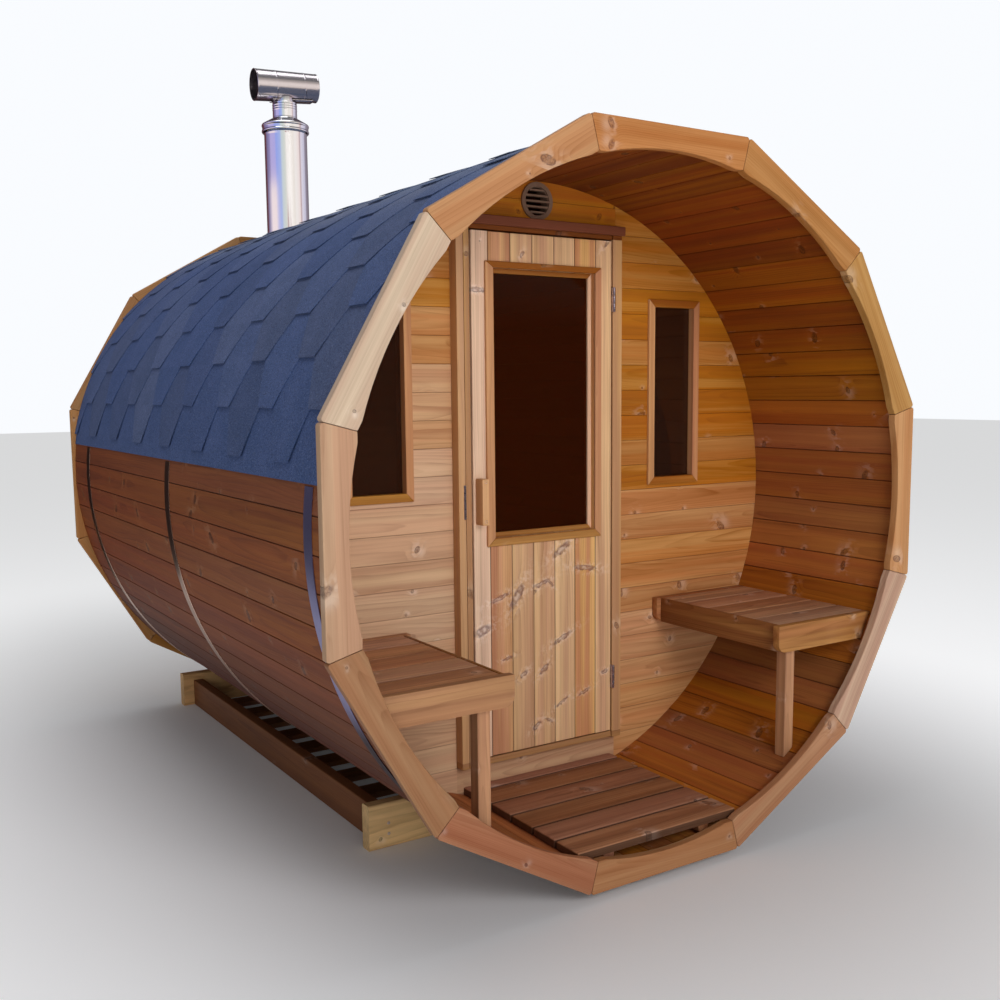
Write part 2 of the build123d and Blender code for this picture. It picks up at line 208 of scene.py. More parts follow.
# ------------------------------------------------------------------ node helpers
class Nodes:
    """Short names for building a node tree."""

    def __init__(self, name):
        self.mat = bpy.data.materials.new(name)
        self.mat.use_nodes = True
        self.nt = self.mat.node_tree
        self.bsdf = self.nt.nodes["Principled BSDF"]
        self.n = 0

    def new(self, kind, **kw):
        nd = self.nt.nodes.new(kind)
        nd.location = (-260 * (1 + self.n % 9), -220 * (self.n // 9))
        self.n += 1
        for k, v in kw.items():
            setattr(nd, k, v)
        return nd

    def put(self, sock, val):
        if isinstance(val, bpy.types.NodeSocket):
            self.nt.links.new(val, sock)
        else:
            sock.default_value = val

    def math(self, op, a, b=None, c=None, clamp=False):
        nd = self.new("ShaderNodeMath", operation=op)
        nd.use_clamp = clamp
        self.put(nd.inputs[0], a)
        if b is not None:
            self.put(nd.inputs[1], b)
        if c is not None:
            self.put(nd.inputs[2], c)
        return nd.outputs[0]

    def vmath(self, op, a, b=None, scale=None):
        nd = self.new("ShaderNodeVectorMath", operation=op)
        self.put(nd.inputs[0], a)
        if b is not None:
            self.put(nd.inputs[1], b)
        if scale is not None:
            self.put(nd.inputs["Scale"], scale)
        return nd.outputs["Value"] if op in ("LENGTH", "DOT_PRODUCT", "DISTANCE") else nd.outputs[0]

    def sep(self, v):
        nd = self.new("ShaderNodeSeparateXYZ")
        self.put(nd.inputs[0], v)
        return nd.outputs[0], nd.outputs[1], nd.outputs[2]

    def comb(self, x, y, z):
        nd = self.new("ShaderNodeCombineXYZ")
        for i, v in enumerate((x, y, z)):
            self.put(nd.inputs[i], v)
        return nd.outputs[0]

    def attr(self, name):
        nd = self.new("ShaderNodeAttribute", attribute_name=name)
        return nd.outputs["Vector"]

    def noise(self, v, scale, detail=2.0, rough=0.5, dist=0.0):
        nd = self.new("ShaderNodeTexNoise")
        self.put(nd.inputs["Vector"], v)
        nd.inputs["Scale"].default_value = scale
        nd.inputs["Detail"].default_value = detail
        nd.inputs["Roughness"].default_value = rough
        nd.inputs["Distortion"].default_value = dist
        return nd.outputs["Fac"]

    def ramp(self, fac, stops, mode="LINEAR"):
        nd = self.new("ShaderNodeValToRGB")
        cr = nd.color_ramp
        cr.interpolation = mode
        while len(cr.elements) > 1:
            cr.elements.remove(cr.elements[-1])
        cr.elements[0].position = stops[0][0]
        cr.elements[0].color = (*stops[0][1], 1)
        for p, c in stops[1:]:
            e = cr.elements.new(p)
            e.color = (*c, 1)
        self.put(nd.inputs[0], fac)
        return nd.outputs[0]

    def mix(self, fac, a, b, blend="MIX"):
        nd = self.new("ShaderNodeMix", data_type="RGBA", blend_type=blend)
        self.put(nd.inputs[0], fac)
        self.put(nd.inputs[6], a if isinstance(a, bpy.types.NodeSocket) else (*a, 1))
        self.put(nd.inputs[7], b if isinstance(b, bpy.types.NodeSocket) else (*b, 1))
        return nd.outputs[2]

    def range(self, v, a, b, c, d, smooth=False):
        nd = self.new("ShaderNodeMapRange")
        nd.interpolation_type = "SMOOTHSTEP" if smooth else "LINEAR"
        self.put(nd.inputs[0], v)
        for i, q in enumerate((a, b, c, d)):
            self.put(nd.inputs[1 + i], q)
        return nd.outputs[0]

    def hsv(self, col, h=0.5, s=1.0, v=1.0):
        nd = self.new("ShaderNodeHueSaturation")
        self.put(nd.inputs["Hue"], h)
        self.put(nd.inputs["Saturation"], s)
        self.put(nd.inputs["Value"], v)
        self.put(nd.inputs["Color"], col)
        return nd.outputs[0]

    def bump(self, h, strength, dist, normal=None):
        nd = self.new("ShaderNodeBump")
        nd.inputs["Strength"].default_value = strength
        nd.inputs["Distance"].default_value = dist
        self.put(nd.inputs["Height"], h)
        if normal is not None:
            self.put(nd.inputs["Normal"], normal)
        return nd.outputs[0]


def srgb(r, g, b):
    def f(c):
        c /= 255.0
        return c / 12.92 if c <= 0.04045 else ((c + 0.055) / 1.055) ** 2.4
    return (f(r), f(g), f(b))


# ------------------------------------------------------------------ materials
def wood(name, light, dark, knot, spacing=0.0055, ring_amt=0.55, knots=0.45, tone=0.16,
         rough=0.6, bump=0.25, red=None, stain=0.0, pith=(0.02, 0.09), streak_amt=0.75,
         side=0.16, outer=None, sat=0.14, spike=0.5, fleck=0.5, outer_far_shade=None, spikes=(), size0=0.0030, joint_shade_amt=0.6, hue_amt=0.012, crown_shade=None, foot_shade=None):
    """Solid-cut softwood: year rings round a pith, taper, knots that bend the grain, fibres.
    'grain' is (along, across, through) in metres on each board and 'bid' three numbers a board."""
    n = Nodes(name)
    g, b = n.attr("grain"), n.attr("bid")
    u, v, w = n.sep(g)
    b1, b2, b3 = n.sep(b)
    off = n.vmath("SCALE", b, scale=41.0)
    # knots
    ku = n.math("MULTIPLY_ADD", b1, 31.0, u)
    kv = n.math("MULTIPLY_ADD", b2, 17.0, v)
    cu, cv = 0.30, 0.080
    vor = n.new("ShaderNodeTexVoronoi", voronoi_dimensions="2D", feature="F1")
    n.put(vor.inputs["Vector"], n.comb(n.math("DIVIDE", ku, cu), n.math("DIVIDE", kv, cv), 0.0))
    vor.inputs["Scale"].default_value = 1.0
    vor.inputs["Randomness"].default_value = 0.85
    pu, pv, _ = n.sep(vor.outputs["Position"])
    kr, kg, kb = n.sep(vor.outputs["Color"])
    du = n.math("MULTIPLY_ADD", pu, -cu, ku)
    dv = n.math("MULTIPLY_ADD", pv, -cv, kv)
    wob = n.noise(n.vmath("ADD", n.vmath("MULTIPLY", g, (22.0, 44.0, 44.0)), off), 1.0, 2.0)
    turn = n.math("MULTIPLY_ADD", kb, 2.0, -1.0)
    ct, st = n.math("COSINE", turn), n.math("SINE", turn)
    ka = n.math("MULTIPLY_ADD", du, ct, n.math("MULTIPLY", dv, st))
    kc_ = n.math("MULTIPLY_ADD", dv, ct, n.math("MULTIPLY", du, n.math("MULTIPLY", st, -1.0)))
    size = n.math("MULTIPLY_ADD", n.math("POWER", kr, 1.5), 0.0085, size0)
    slim = n.math("MULTIPLY_ADD", kr, -spike, 1.0)
    kc2 = n.math("MULTIPLY", kc_, slim)
    d = n.math("SQRT", n.math("ADD", n.math("MULTIPLY", ka, ka), n.math("MULTIPLY", kc2, kc2)))
    d = n.math("MULTIPLY_ADD", n.math("SUBTRACT", wob, 0.5), 0.009, d)
    there = n.math("LESS_THAN", kg, knots)
    ratio = n.math("DIVIDE", d, size)
    core = n.math("MULTIPLY", n.range(ratio, 0.80, 1.15, 1.0, 0.0, True), there)
    halo = n.math("MULTIPLY", n.math("POWER", 2.718, n.math("MULTIPLY", n.math("MULTIPLY", ratio, ratio), -0.14)), there)
    rim = n.math("MULTIPLY", n.range(n.math("ABSOLUTE", n.math("SUBTRACT", ratio, 1.08)), 0.0, 0.30, 1.0, 0.0, True), there)
    rim = n.math("MULTIPLY", rim, n.range(wob, 0.42, 0.56, 0.15, 1.0, True))
    # pale reaction wood on one side of the knot
    pa = n.math("DIVIDE", n.math("MULTIPLY_ADD", size, -2.1, ka), n.math("MULTIPLY", size, 1.9))
    pb = n.math("DIVIDE", kc2, n.math("MULTIPLY", size, 1.5))
    paleside = n.math("MULTIPLY", n.math("POWER", 2.718, n.math("MULTIPLY", n.math("ADD", n.math("MULTIPLY", pa, pa), n.math("MULTIPLY", pb, pb)), -1.0)), there)
    if spikes:
        # knots sawn along their length, each a long dark-edged lens
        px, py, pz = n.sep(n.attr("place"))
        pw = n.noise(n.comb(px, 0.0, pz), 60.0, 2.0, 0.55)
        pw2 = n.noise(n.comb(px, 3.0, pz), 60.0, 2.0, 0.55)
        at = n.comb(n.math("MULTIPLY_ADD", n.math("SUBTRACT", pw, 0.5), 0.018, px), 0.0,
                    n.math("MULTIPLY_ADD", n.math("SUBTRACT", pw2, 0.5), 0.018, pz))
        near = None
        for x0, z0, deg, la, lb in spikes:
            mp = n.new("ShaderNodeMapping", vector_type="TEXTURE")
            n.put(mp.inputs["Vector"], at)
            mp.inputs["Location"].default_value = (x0 / 1000.0, 0.0, z0 / 1000.0)
            mp.inputs["Rotation"].default_value = (0.0, -math.radians(deg), 0.0)
            mp.inputs["Scale"].default_value = (la / 1000.0, 1.0, lb * 1.45 / 1000.0)
            q = n.vmath("LENGTH", mp.outputs[0])
            near = q if near is None else n.math("MINIMUM", near, q)
        s_in = n.range(near, 0.75, 1.05, 1.0, 0.0, True)
        s_rim = n.math("MULTIPLY", n.range(n.math("ABSOLUTE", n.math("SUBTRACT", near, 0.90)), 0.0, 0.55, 1.0, 0.0, True),
                       n.range(pw2, 0.40, 0.60, 0.45, 1.0, True))
        s_out = n.math("POWER", 2.718, n.math("MULTIPLY", n.math("MULTIPLY", near, near), -0.22))
    # year rings
    gg = n.vmath("ADD", g, off)
    slow = n.noise(n.vmath("MULTIPLY", gg, (0.9, 5.0, 5.0)), 1.0, 1.0)
    mid = n.noise(n.vmath("MULTIPLY", gg, (3.2, 26.0, 26.0)), 1.0, 2.0)
    v0 = n.math("MULTIPLY", n.math("SUBTRACT", b2, 0.5), side)
    w0 = n.math("MULTIPLY_ADD", b3, pith[1], pith[0])
    taper = n.math("MULTIPLY", n.math("SUBTRACT", b1, 0.5), 0.045)
    rv = n.math("SUBTRACT", v, v0)
    rw = n.math("ADD", n.math("ADD", w, w0), n.math("MULTIPLY", taper, u))
    r = n.math("SQRT", n.math("ADD", n.math("MULTIPLY", rv, rv), n.math("MULTIPLY", rw, rw)))
    r = n.math("MULTIPLY_ADD", n.math("SUBTRACT", slow, 0.5), 0.05, r)
    r = n.math("MULTIPLY_ADD", n.math("SUBTRACT", mid, 0.5), 0.0065, r)
    r = n.math("MULTIPLY_ADD", halo, n.math("MULTIPLY_ADD", size, 1.2, 0.004), r)
    if spikes:
        r = n.math("MULTIPLY_ADD", s_out, 0.012, r)
    sp = n.math("MULTIPLY_ADD", b3, spacing * 0.6, spacing * 0.7)
    ph = n.math("DIVIDE", r, sp)
    fr = n.math("FRACT", ph)
    late = n.math("POWER", fr, 2.6)
    late = n.math("MULTIPLY", late, n.range(fr, 0.93, 1.0, 1.0, 0.0, True))
    wn = n.new("ShaderNodeTexWhiteNoise", noise_dimensions="1D")
    n.put(wn.inputs["W"], n.math("FLOOR", ph))
    late = n.math("MULTIPLY", late, n.math("MULTIPLY_ADD", wn.outputs["Value"], 0.75, 0.45))
    late = n.math("MULTIPLY", late, n.range(mid, 0.35, 0.62, 0.35, 1.0, True))
    fibre = n.noise(n.vmath("MULTIPLY", gg, (9.0, 520.0, 520.0)), 1.0, 3.0, 0.6)
    streak = n.noise(n.vmath("MULTIPLY", gg, (0.8, 44.0, 44.0)), 1.0, 3.0, 0.6)
    blotch = n.noise(n.vmath("MULTIPLY", gg, (2.2, 7.0, 7.0)), 1.0, 2.0)
    k = n.math("MULTIPLY", late, ring_amt)
    band = n.noise(n.vmath("MULTIPLY", gg, (0.45, 19.0, 19.0)), 1.0, 2.0, 0.55)
    k = n.math("MULTIPLY_ADD", n.math("SUBTRACT", streak, 0.47), streak_amt, k)
    k = n.math("MULTIPLY_ADD", n.math("SUBTRACT", band, 0.5), streak_amt * 0.9, k)
    k = n.math("MULTIPLY_ADD", n.math("SUBTRACT", fibre, 0.5), 0.34, k)
    k = n.math("MULTIPLY_ADD", n.math("SUBTRACT", blotch, 0.5), 0.30, k)
    k = n.math("ADD", k, 0.20, clamp=True)
    col = n.mix(k, light, dark)
    if red is not None:
        drift = n.noise(n.vmath("ADD", n.vmath("MULTIPLY", gg, (0.6, 26.0, 26.0)), (7.0, 3.0, 5.0)), 1.0, 2.0, 0.5)
        col = n.mix(n.math("MULTIPLY", n.range(drift, 0.36, 0.62, 0.0, 1.0, True), n.range(b2, 0.0, 1.0, 0.25, 1.0)), col, n.mix(k, red, dark))
    pale = n.mix(0.40, light, (1.0, 0.92, 0.84))
    swirl = n.math("MULTIPLY", halo, n.range(n.noise(n.vmath("MULTIPLY", gg, (30.0, 60.0, 60.0)), 1.0, 1.0), 0.45, 0.62, 0.0, 0.45, True))
    swirl = n.math("MAXIMUM", swirl, n.math("MULTIPLY", paleside, fleck))
    col = n.mix(swirl, col, pale)
    kc = n.mix(n.range(n.noise(n.vmath("MULTIPLY", gg, (160.0, 160.0, 160.0)), 1.0, 2.0), 0.35, 0.65, 0.0, 1.0), knot, n.mix(0.55, knot, light))
    col = n.mix(n.math("MULTIPLY", core, 0.72), col, kc)
    col = n.mix(n.math("MULTIPLY", rim, 0.75), col, n.mix(0.45, knot, (0.05, 0.022, 0.018)))
    if spikes:
        col = n.mix(n.math("MULTIPLY", n.math("MULTIPLY", s_out, n.range(pw, 0.44, 0.58, 0.0, 1.0, True)), 0.55), col, (0.84, 0.66, 0.52))
        inner = n.mix(n.range(pw, 0.4, 0.6, 0.0, 1.0), (0.26, 0.135, 0.10), (0.52, 0.36, 0.27))
        col = n.mix(n.math("MULTIPLY", s_in, 0.62), col, inner)
        col = n.mix(n.math("MULTIPLY", s_rim, 0.78), col, (0.175, 0.066, 0.052))
    val = n.math("MULTIPLY_ADD", n.math("SUBTRACT", b1, 0.5), tone * 2, 1.0)
    hue = n.math("MULTIPLY_ADD", n.math("SUBTRACT", b3, 0.5), hue_amt, 0.5)
    col = n.hsv(col, hue, n.math("MULTIPLY_ADD", n.math("SUBTRACT", b2, 0.5), sat, 1.0), val)
    # painted shade: the outer face of a stave is tinted darker, with a different tint towards the back than at the
    # front, and darker still towards the bottom; the top of the barrel is darkened and warmed on both faces
    if outer is not None:
        hx, hy, hz = n.sep(n.attr("place"))
        outer_shade_tint = n.mix(n.range(u, -1.2, 1.2, 0.0, 1.0), outer, outer_far_shade or outer)
        outer_shade_tint = n.mix(1.0, outer_shade_tint, n.mix(n.range(hz, -0.85, -0.22, 0.0, 1.0, True), foot_shade, (1.0, 1.0, 1.0)), "MULTIPLY")
        col = n.mix(1.0, col, n.mix(n.range(hz, 0.35, 1.0, 0.0, 1.0, True), (1.0, 1.0, 1.0), crown_shade), "MULTIPLY")
        col = n.mix(n.range(w, 0.010, 0.0155, 0.0, 1.0, True), col, n.mix(1.0, col, outer_shade_tint, "MULTIPLY"))
    # painted shade in the joints: faces inside a joint between boards are darkened almost to black
    joint_shade = n.new("ShaderNodeAttribute", attribute_name="joint_shade").outputs["Fac"]
    col = n.mix(n.math("MULTIPLY", n.math("POWER", joint_shade, 0.8), joint_shade_amt), col, (0.030, 0.011, 0.004))
    if stain:
        st = n.noise(n.vmath("MULTIPLY", gg, (1.5, 9.0, 9.0)), 1.0, 4.0, 0.65)
        col = n.mix(n.range(st, 0.45, 0.75, 0.0, stain, True), col, n.mix(0.5, dark, (0.07, 0.055, 0.05)))
    n.put(n.bsdf.inputs["Base Color"], col)
    n.put(n.bsdf.inputs["Roughness"], n.math("ADD", n.math("MULTIPLY_ADD", fibre, 0.18, rough - 0.09), n.math("MULTIPLY", core, -0.12)))
    n.bsdf.inputs["Specular IOR Level"].default_value = 0.32
    n.put(n.bsdf.inputs["Normal"], n.bump(fibre, bump, 0.0007))
    return n.mat


def felt(name, base, alt, dark):
    """Mineral-coated roofing felt: coloured grit, darker grit and worn patches."""
    n = Nodes(name)
    g, b = n.attr("grain"), n.attr("bid")
    b1, b2, b3 = n.sep(b)
    gg = n.vmath("ADD", g, n.vmath("SCALE", b, scale=23.0))
    grit = n.noise(gg, 620.0, 2.0, 0.7)
    coarse = n.noise(gg, 190.0, 2.0, 0.6)
    cloud = n.noise(gg, 7.0, 3.0, 0.55)
    vor = n.new("ShaderNodeTexVoronoi", feature="F1")
    n.put(vor.inputs["Vector"], gg)
    vor.inputs["Scale"].default_value = 430.0
    vr, vg, vb = n.sep(vor.outputs["Color"])
    col = n.mix(n.range(cloud, 0.3, 0.7, 0.0, 1.0, True), base, alt)
    col = n.mix(n.range(vr, 0.62, 1.0, 0.0, 0.75), col, dark)
    col = n.mix(n.range(vg, 0.86, 1.0, 0.0, 0.38), col, (0.26, 0.32, 0.50))
    col = n.mix(n.range(coarse, 0.5, 0.75, 0.0, 0.35), col, dark)
    col = n.hsv(col, 0.5, n.math("MULTIPLY_ADD", b2, 0.16, 0.92), n.math("MULTIPLY_ADD", b1, 0.22, 0.89))
    hx, hy, hz = n.sep(n.attr("place"))
    # painted highlight: the felt is lightened and greyed towards the crest, where the top light falls
    col = n.mix(1.0, col, n.mix(n.range(hz, 0.84, 1.07, 0.0, 1.0, True), (1.0, 1.0, 1.0), (2.6, 2.0, 1.3)), "MULTIPLY")
    n.put(n.bsdf.inputs["Base Color"], col)
    n.bsdf.inputs["Specular IOR Level"].default_value = 0.35
    n.put(n.bsdf.inputs["Roughness"], n.range(vb, 0.0, 1.0, 0.72, 0.95))
    h = n.math("MULTIPLY_ADD", vor.outputs["Distance"], -0.6, n.math("MULTIPLY", grit, 0.6))
    n.put(n.bsdf.inputs["Normal"], n.bump(h, 0.55, 0.0012))
    return n.mat


def metal(name, color, rough=0.16, brushed=0.0, dent=0.0, scale=1.0, spot=0.15, low=None):
    """Polished or brushed sheet steel with faint waves, rubbing and dull spots; given a low colour, it is darkened
    towards the bottom as painted shade.
    """
    n = Nodes(name)
    g = n.attr("grain")
    b1, b2, b3 = n.sep(n.attr("bid"))
    n.bsdf.inputs["Metallic"].default_value = 1.0
    lines = n.noise(n.vmath("MULTIPLY", g, (6.0 * scale, 900.0 * scale, 900.0 * scale)), 1.0, 2.0, 0.6)
    wave = n.noise(n.vmath("MULTIPLY", g, (3.0, 9.0, 9.0)), 1.0, 2.0, 0.5)
    dirt = n.noise(g, 38.0 * scale, 4.0, 0.65)
    col = n.mix(n.range(dirt, 0.5, 0.8, 0.0, spot, True), color, tuple(c * 0.45 for c in color))
    col = n.mix(n.range(lines, 0.35, 0.75, 0.0, 0.12), col, tuple(min(1.0, c * 1.12) for c in color))
    # painted shade: below a set height the colour turns to the dark low colour
    if low is not None:
        hx, hy, hz = n.sep(n.attr("place"))
        col = n.mix(n.range(hz, -0.56, -0.40, 0.0, 1.0, True), low, col)
    n.put(n.bsdf.inputs["Base Color"], col)
    rr = n.math("MULTIPLY_ADD", dirt, 0.10, rough - 0.05)
    rr = n.math("MULTIPLY_ADD", lines, 0.04 + brushed * 0.2, rr)
    n.put(n.bsdf.inputs["Roughness"], rr)
    h = n.math("MULTIPLY_ADD", lines, 0.015 + brushed, n.math("MULTIPLY", wave, dent * 12.0))
    n.put(n.bsdf.inputs["Normal"], n.bump(h, 0.35, 0.0006))
    return n.mat


def plastic(name, color, rough=0.42):
    n = Nodes(name)
    tc = n.new("ShaderNodeTexCoord")
    o = tc.outputs["Object"]
    fine = n.noise(o, 900.0, 2.0, 0.6)
    dust = n.noise(o, 30.0, 4.0, 0.6)
    n.put(n.bsdf.inputs["Base Color"], n.mix(n.range(dust, 0.45, 0.8, 0.0, 0.35, True), color, tuple(min(1.0, c * 1.8 + 0.02) for c in color)))
    n.put(n.bsdf.inputs["Roughness"], n.math("MULTIPLY_ADD", dust, 0.25, rough - 0.1))
    n.put(n.bsdf.inputs["Normal"], n.bump(fine, 0.15, 0.0003))
    return n.mat


def glass(name, tint, ior=1.22):
    n = Nodes(name)
    tc = n.new("ShaderNodeTexCoord")
    smear = n.noise(tc.outputs["Object"], 5.0, 4.0, 0.6)
    n.bsdf.inputs["Base Color"].default_value = (*tint, 1)
    n.bsdf.inputs["Transmission Weight"].default_value = 0.90
    n.bsdf.inputs["IOR"].default_value = ior
    n.put(n.bsdf.inputs["Roughness"], n.range(smear, 0.4, 0.8, 0.015, 0.06))
    n.put(n.bsdf.inputs["Normal"], n.bump(n.noise(tc.outputs["Object"], 2.2, 1.0), 0.05, 0.002))
    return n.mat


# ------------------------------------------------------------------ mesh pieces
class Piece:
    """A joined mesh of many separate parts, each with its own grain frame and numbers."""

    def __init__(self, name):
        self.name, self.v, self.f, self.g, self.b = name, [], [], [], []
        self.smooth = []
        self.mi = []
        self.d = []

    def add(self, bm, origin=None, along=Y, across=X, bid=None, smooth=False, mat=0, free=False, seam=None):
        bid = bid or (RND.random(), RND.random(), RND.random())
        along = along.normalized()
        through = along.cross(across).normalized()
        across = through.cross(along).normalized()
        if origin is None:
            origin = Vector((0, 0, 0))
            for q in bm.verts:
                origin += q.co
            origin /= max(1, len(bm.verts))
        k = len(self.v)
        bm.verts.ensure_lookup_table()
        bm.verts.index_update()
        for q in bm.verts:
            d = q.co - origin
            self.v.append(tuple(q.co))
            self.g.append((d.dot(along), d.dot(across), d.dot(through)))
            self.b.append(bid)
        # how far a vertex lies in the joint between two boards; the wood paints such vertices dark as painted shade in
        # the joint
        new = self.g[k:]
        if seam is None or not new:
            self.d += [0.0] * len(new)
        elif callable(seam):
            self.d += [seam(q.co) for q in bm.verts]
        else:
            hi, lo = max(q[1] for q in new), min(q[1] for q in new)
            self.d += [1.0 if q[1] > hi - seam / 1000.0 or q[1] < lo + seam / 1000.0 else 0.0 for q in new]
        for f in bm.faces:
            self.f.append([q.index + k for q in f.verts])
            self.smooth.append(smooth)
            self.mi.append(mat)
        if free:
            bm.free()

    def make(self, mats, body, slot, *replaces, sharp=40.0):
        me = bpy.data.meshes.new(self.name)
        me.from_pydata(self.v, [], self.f)
        me.update()
        a = me.attributes.new("grain", "FLOAT_VECTOR", "POINT")
        a.data.foreach_set("vector", [c for q in self.g for c in q])
        a = me.attributes.new("bid", "FLOAT_VECTOR", "POINT")
        a.data.foreach_set("vector", [c for q in self.b for c in q])
        a = me.attributes.new("place", "FLOAT_VECTOR", "POINT")
        a.data.foreach_set("vector", [c for q in self.v for c in (q[0], q[1], q[2] - AXIS)])
        a = me.attributes.new("joint_shade", "FLOAT", "POINT")
        a.data.foreach_set("value", self.d)
        me.polygons.foreach_set("use_smooth", self.smooth)
        me.polygons.foreach_set("material_index", self.mi)
        if any(self.smooth):
            me.set_sharp_from_angle(angle=math.radians(sharp))
        for m in (mats if isinstance(mats, (list, tuple)) else [mats]):
            me.materials.append(m)
        o = bpy.data.objects.new(self.name, me)
        bpy.context.scene.collection.objects.link(o)
        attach(o, body)
        if replaces:
            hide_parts(*replaces)
        return o


def solid(points, vec):
    """Prism: a closed outline of 3-D points pushed along vec."""
    bm = bmesh.new()
    a = [bm.verts.new(p) for p in points]
    c = [bm.verts.new(p + vec) for p in points]
    bm.faces.new(a)
    bm.faces.new(list(reversed(c)))
    m = len(a)
    for i in range(m):
        j = (i + 1) % m
        bm.faces.new((a[j], a[i], c[i], c[j]))
    bmesh.ops.recalc_face_normals(bm, faces=bm.faces)
    return bm


def block(x0, x1, y0, y1, z0, z1):
    return solid([P(x0, y0, z0), P(x1, y0, z0), P(x1, y0, z1), P(x0, y0, z1)],
                 Vector((0, (y1 - y0) / 1000.0, 0)))


def ease(bm, mm, segments=1, pick=None, angle=25.0, clamp=True):
    """Takes the sharp edges off."""
    lim = math.radians(angle)
    es = [e for e in bm.edges if len(e.link_faces) == 2 and e.calc_face_angle(0) > lim and (pick is None or pick(e))]
    if es:
        bmesh.ops.bevel(bm, geom=es, offset=mm / 1000.0, offset_type="OFFSET", segments=segments,
                        profile=0.5, affect="EDGES", clamp_overlap=clamp)
    return bm


def node_mesh(node):
    """A copy of a CAD node's mesh, in the frame."""
    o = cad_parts[node]
    bm = bmesh.new()
    bm.from_mesh(o.data)
    bm.transform(o.matrix_world)
    bmesh.ops.remove_doubles(bm, verts=bm.verts, dist=1e-6)
    bmesh.ops.dissolve_limit(bm, angle_limit=math.radians(0.6), verts=bm.verts, edges=bm.edges)
    return bm


def parts_of(bm):
    """Splits a mesh into its loose parts."""
    bm.verts.ensure_lookup_table()
    bm.verts.index_update()
    seen, out = set(), []
    for v in bm.verts:
        if v.index in seen:
            continue
        stack, comp = [v], set()
        while stack:
            q = stack.pop()
            if q.index in comp:
                continue
            comp.add(q.index)
            for e in q.link_edges:
                w = e.other_vert(q)
                if w.index not in comp:
                    stack.append(w)
        seen |= comp
        nb = bmesh.new()
        vm = {i: nb.verts.new(bm.verts[i].co) for i in sorted(comp)}
        for f in bm.faces:
            if f.verts[0].index in comp:
                try:
                    nb.faces.new([vm[q.index] for q in f.verts])
                except ValueError:
                    pass
        bmesh.ops.recalc_face_normals(nb, faces=nb.faces)
        out.append(nb)
    return out


def cut(bm, point, normal):
    """Keeps what is behind the plane and closes the cut."""
    r = bmesh.ops.bisect_plane(bm, geom=bm.verts[:] + bm.edges[:] + bm.faces[:], dist=1e-6,
                               plane_co=point, plane_no=normal, clear_outer=True, clear_inner=False)
    es = [e for e in r["geom_cut"] if isinstance(e, bmesh.types.BMEdge) and len(e.link_faces) < 2]
    if es:
        bmesh.ops.holes_fill(bm, edges=es, sides=0)
    return bm


def boards_from(node, piece, joints, axis, along, bev=1.2, gap=0.25, across=None, tone=None):
    """Cuts a CAD node into boards at the joints (mm), each one eased along its edges."""
    src = node_mesh(node)
    for lo, hi in zip(joints[:-1], joints[1:]):
        bm = src.copy()
        if axis == "z":
            n, pl, ph = Z, P(0, 0, lo + gap), P(0, 0, hi - gap)
        else:
            n, pl, ph = X, P(lo + gap, 0, 0), P(hi - gap, 0, 0)
        cut(bm, ph, n)
        if bm.faces:
            cut(bm, pl, -n)
        if not bm.faces:
            bm.free()
            continue
        bmesh.ops.remove_doubles(bm, verts=bm.verts, dist=2e-5)
        bmesh.ops.dissolve_limit(bm, angle_limit=math.radians(0.6), verts=bm.verts, edges=bm.edges)
        bmesh.ops.recalc_face_normals(bm, faces=bm.faces)

        def level(co):
            return ((co.z - AXIS) if axis == "z" else co.x) * 1000.0

        def on_joint(co, slack):
            v = level(co)
            return (abs(v - lo) < slack and lo > joints[0] + 1) or (abs(v - hi) < slack and hi < joints[-1] - 1)
        ease(bm, bev, pick=lambda e: all(on_joint(q.co, gap + 0.1) for q in e.verts), clamp=False)
        ease(bm, bev * 0.8, pick=lambda e: not any(on_joint(q.co, gap + bev + 0.3) for q in e.verts), angle=60)
        c = P(0, 0, (lo + hi) / 2) if axis == "z" else P((lo + hi) / 2, 0, 0)
        bid = tone(lo) if tone else None
        for part in parts_of(bm):
            o = Vector(c)
            o.y = sum((q.co.y for q in part.verts)) / len(part.verts)
            if axis == "z":
                o.x = 0.0
            else:
                o.z = AXIS
            piece.add(part, origin=o, along=along, across=across or n, bid=bid, free=True,
                      seam=lambda co: 1.0 if on_joint(co, gap + 0.15) else 0.0)
        bm.free()
    src.free()


def lathe(profile, centre, axis=Z, segments=96, closed=True, start=0.0):
    """Turns (radius, height) points in mm about an axis through centre."""
    bm = bmesh.new()
    axis = axis.normalized()
    ref = X if abs(axis.dot(X)) < 0.9 else Y
    a = axis.cross(ref).normalized()
    b = axis.cross(a).normalized()
    rings = []
    for i in range(segments):
        t = 2 * math.pi * i / segments + start
        d = a * math.cos(t) + b * math.sin(t)
        rings.append([bm.verts.new(centre + d * (r / 1000.0) + axis * (h / 1000.0)) for r, h in profile])
    m = len(profile)
    for i in range(segments):
        p, q = rings[i], rings[(i + 1) % segments]
        for j in range(m if closed else m - 1):
            k = (j + 1) % m
            bm.faces.new((p[j], q[j], q[k], p[k]))
    bmesh.ops.remove_doubles(bm, verts=bm.verts, dist=1e-7)
    bmesh.ops.recalc_face_normals(bm, faces=bm.faces)
    return bm


def screw(piece, at, normal, r=4.0, mat=0):
    """Countersunk screw head with a round recess, sunk a little below the surface."""
    prof = [(0.0, -0.9), (r * 0.16, -0.9), (r * 0.34, -0.7), (r * 0.42, 0.1), (r * 0.86, 0.25),
            (r, 0.0), (r, -1.0), (0.0, -1.4)]
    bm = lathe(prof, at, normal, 18)
    piece.add(bm, origin=at, along=normal, across=X if abs(normal.dot(X)) < 0.9 else Z, smooth=True, mat=mat, free=True)


# ------------------------------------------------------------------ the object
M = {}


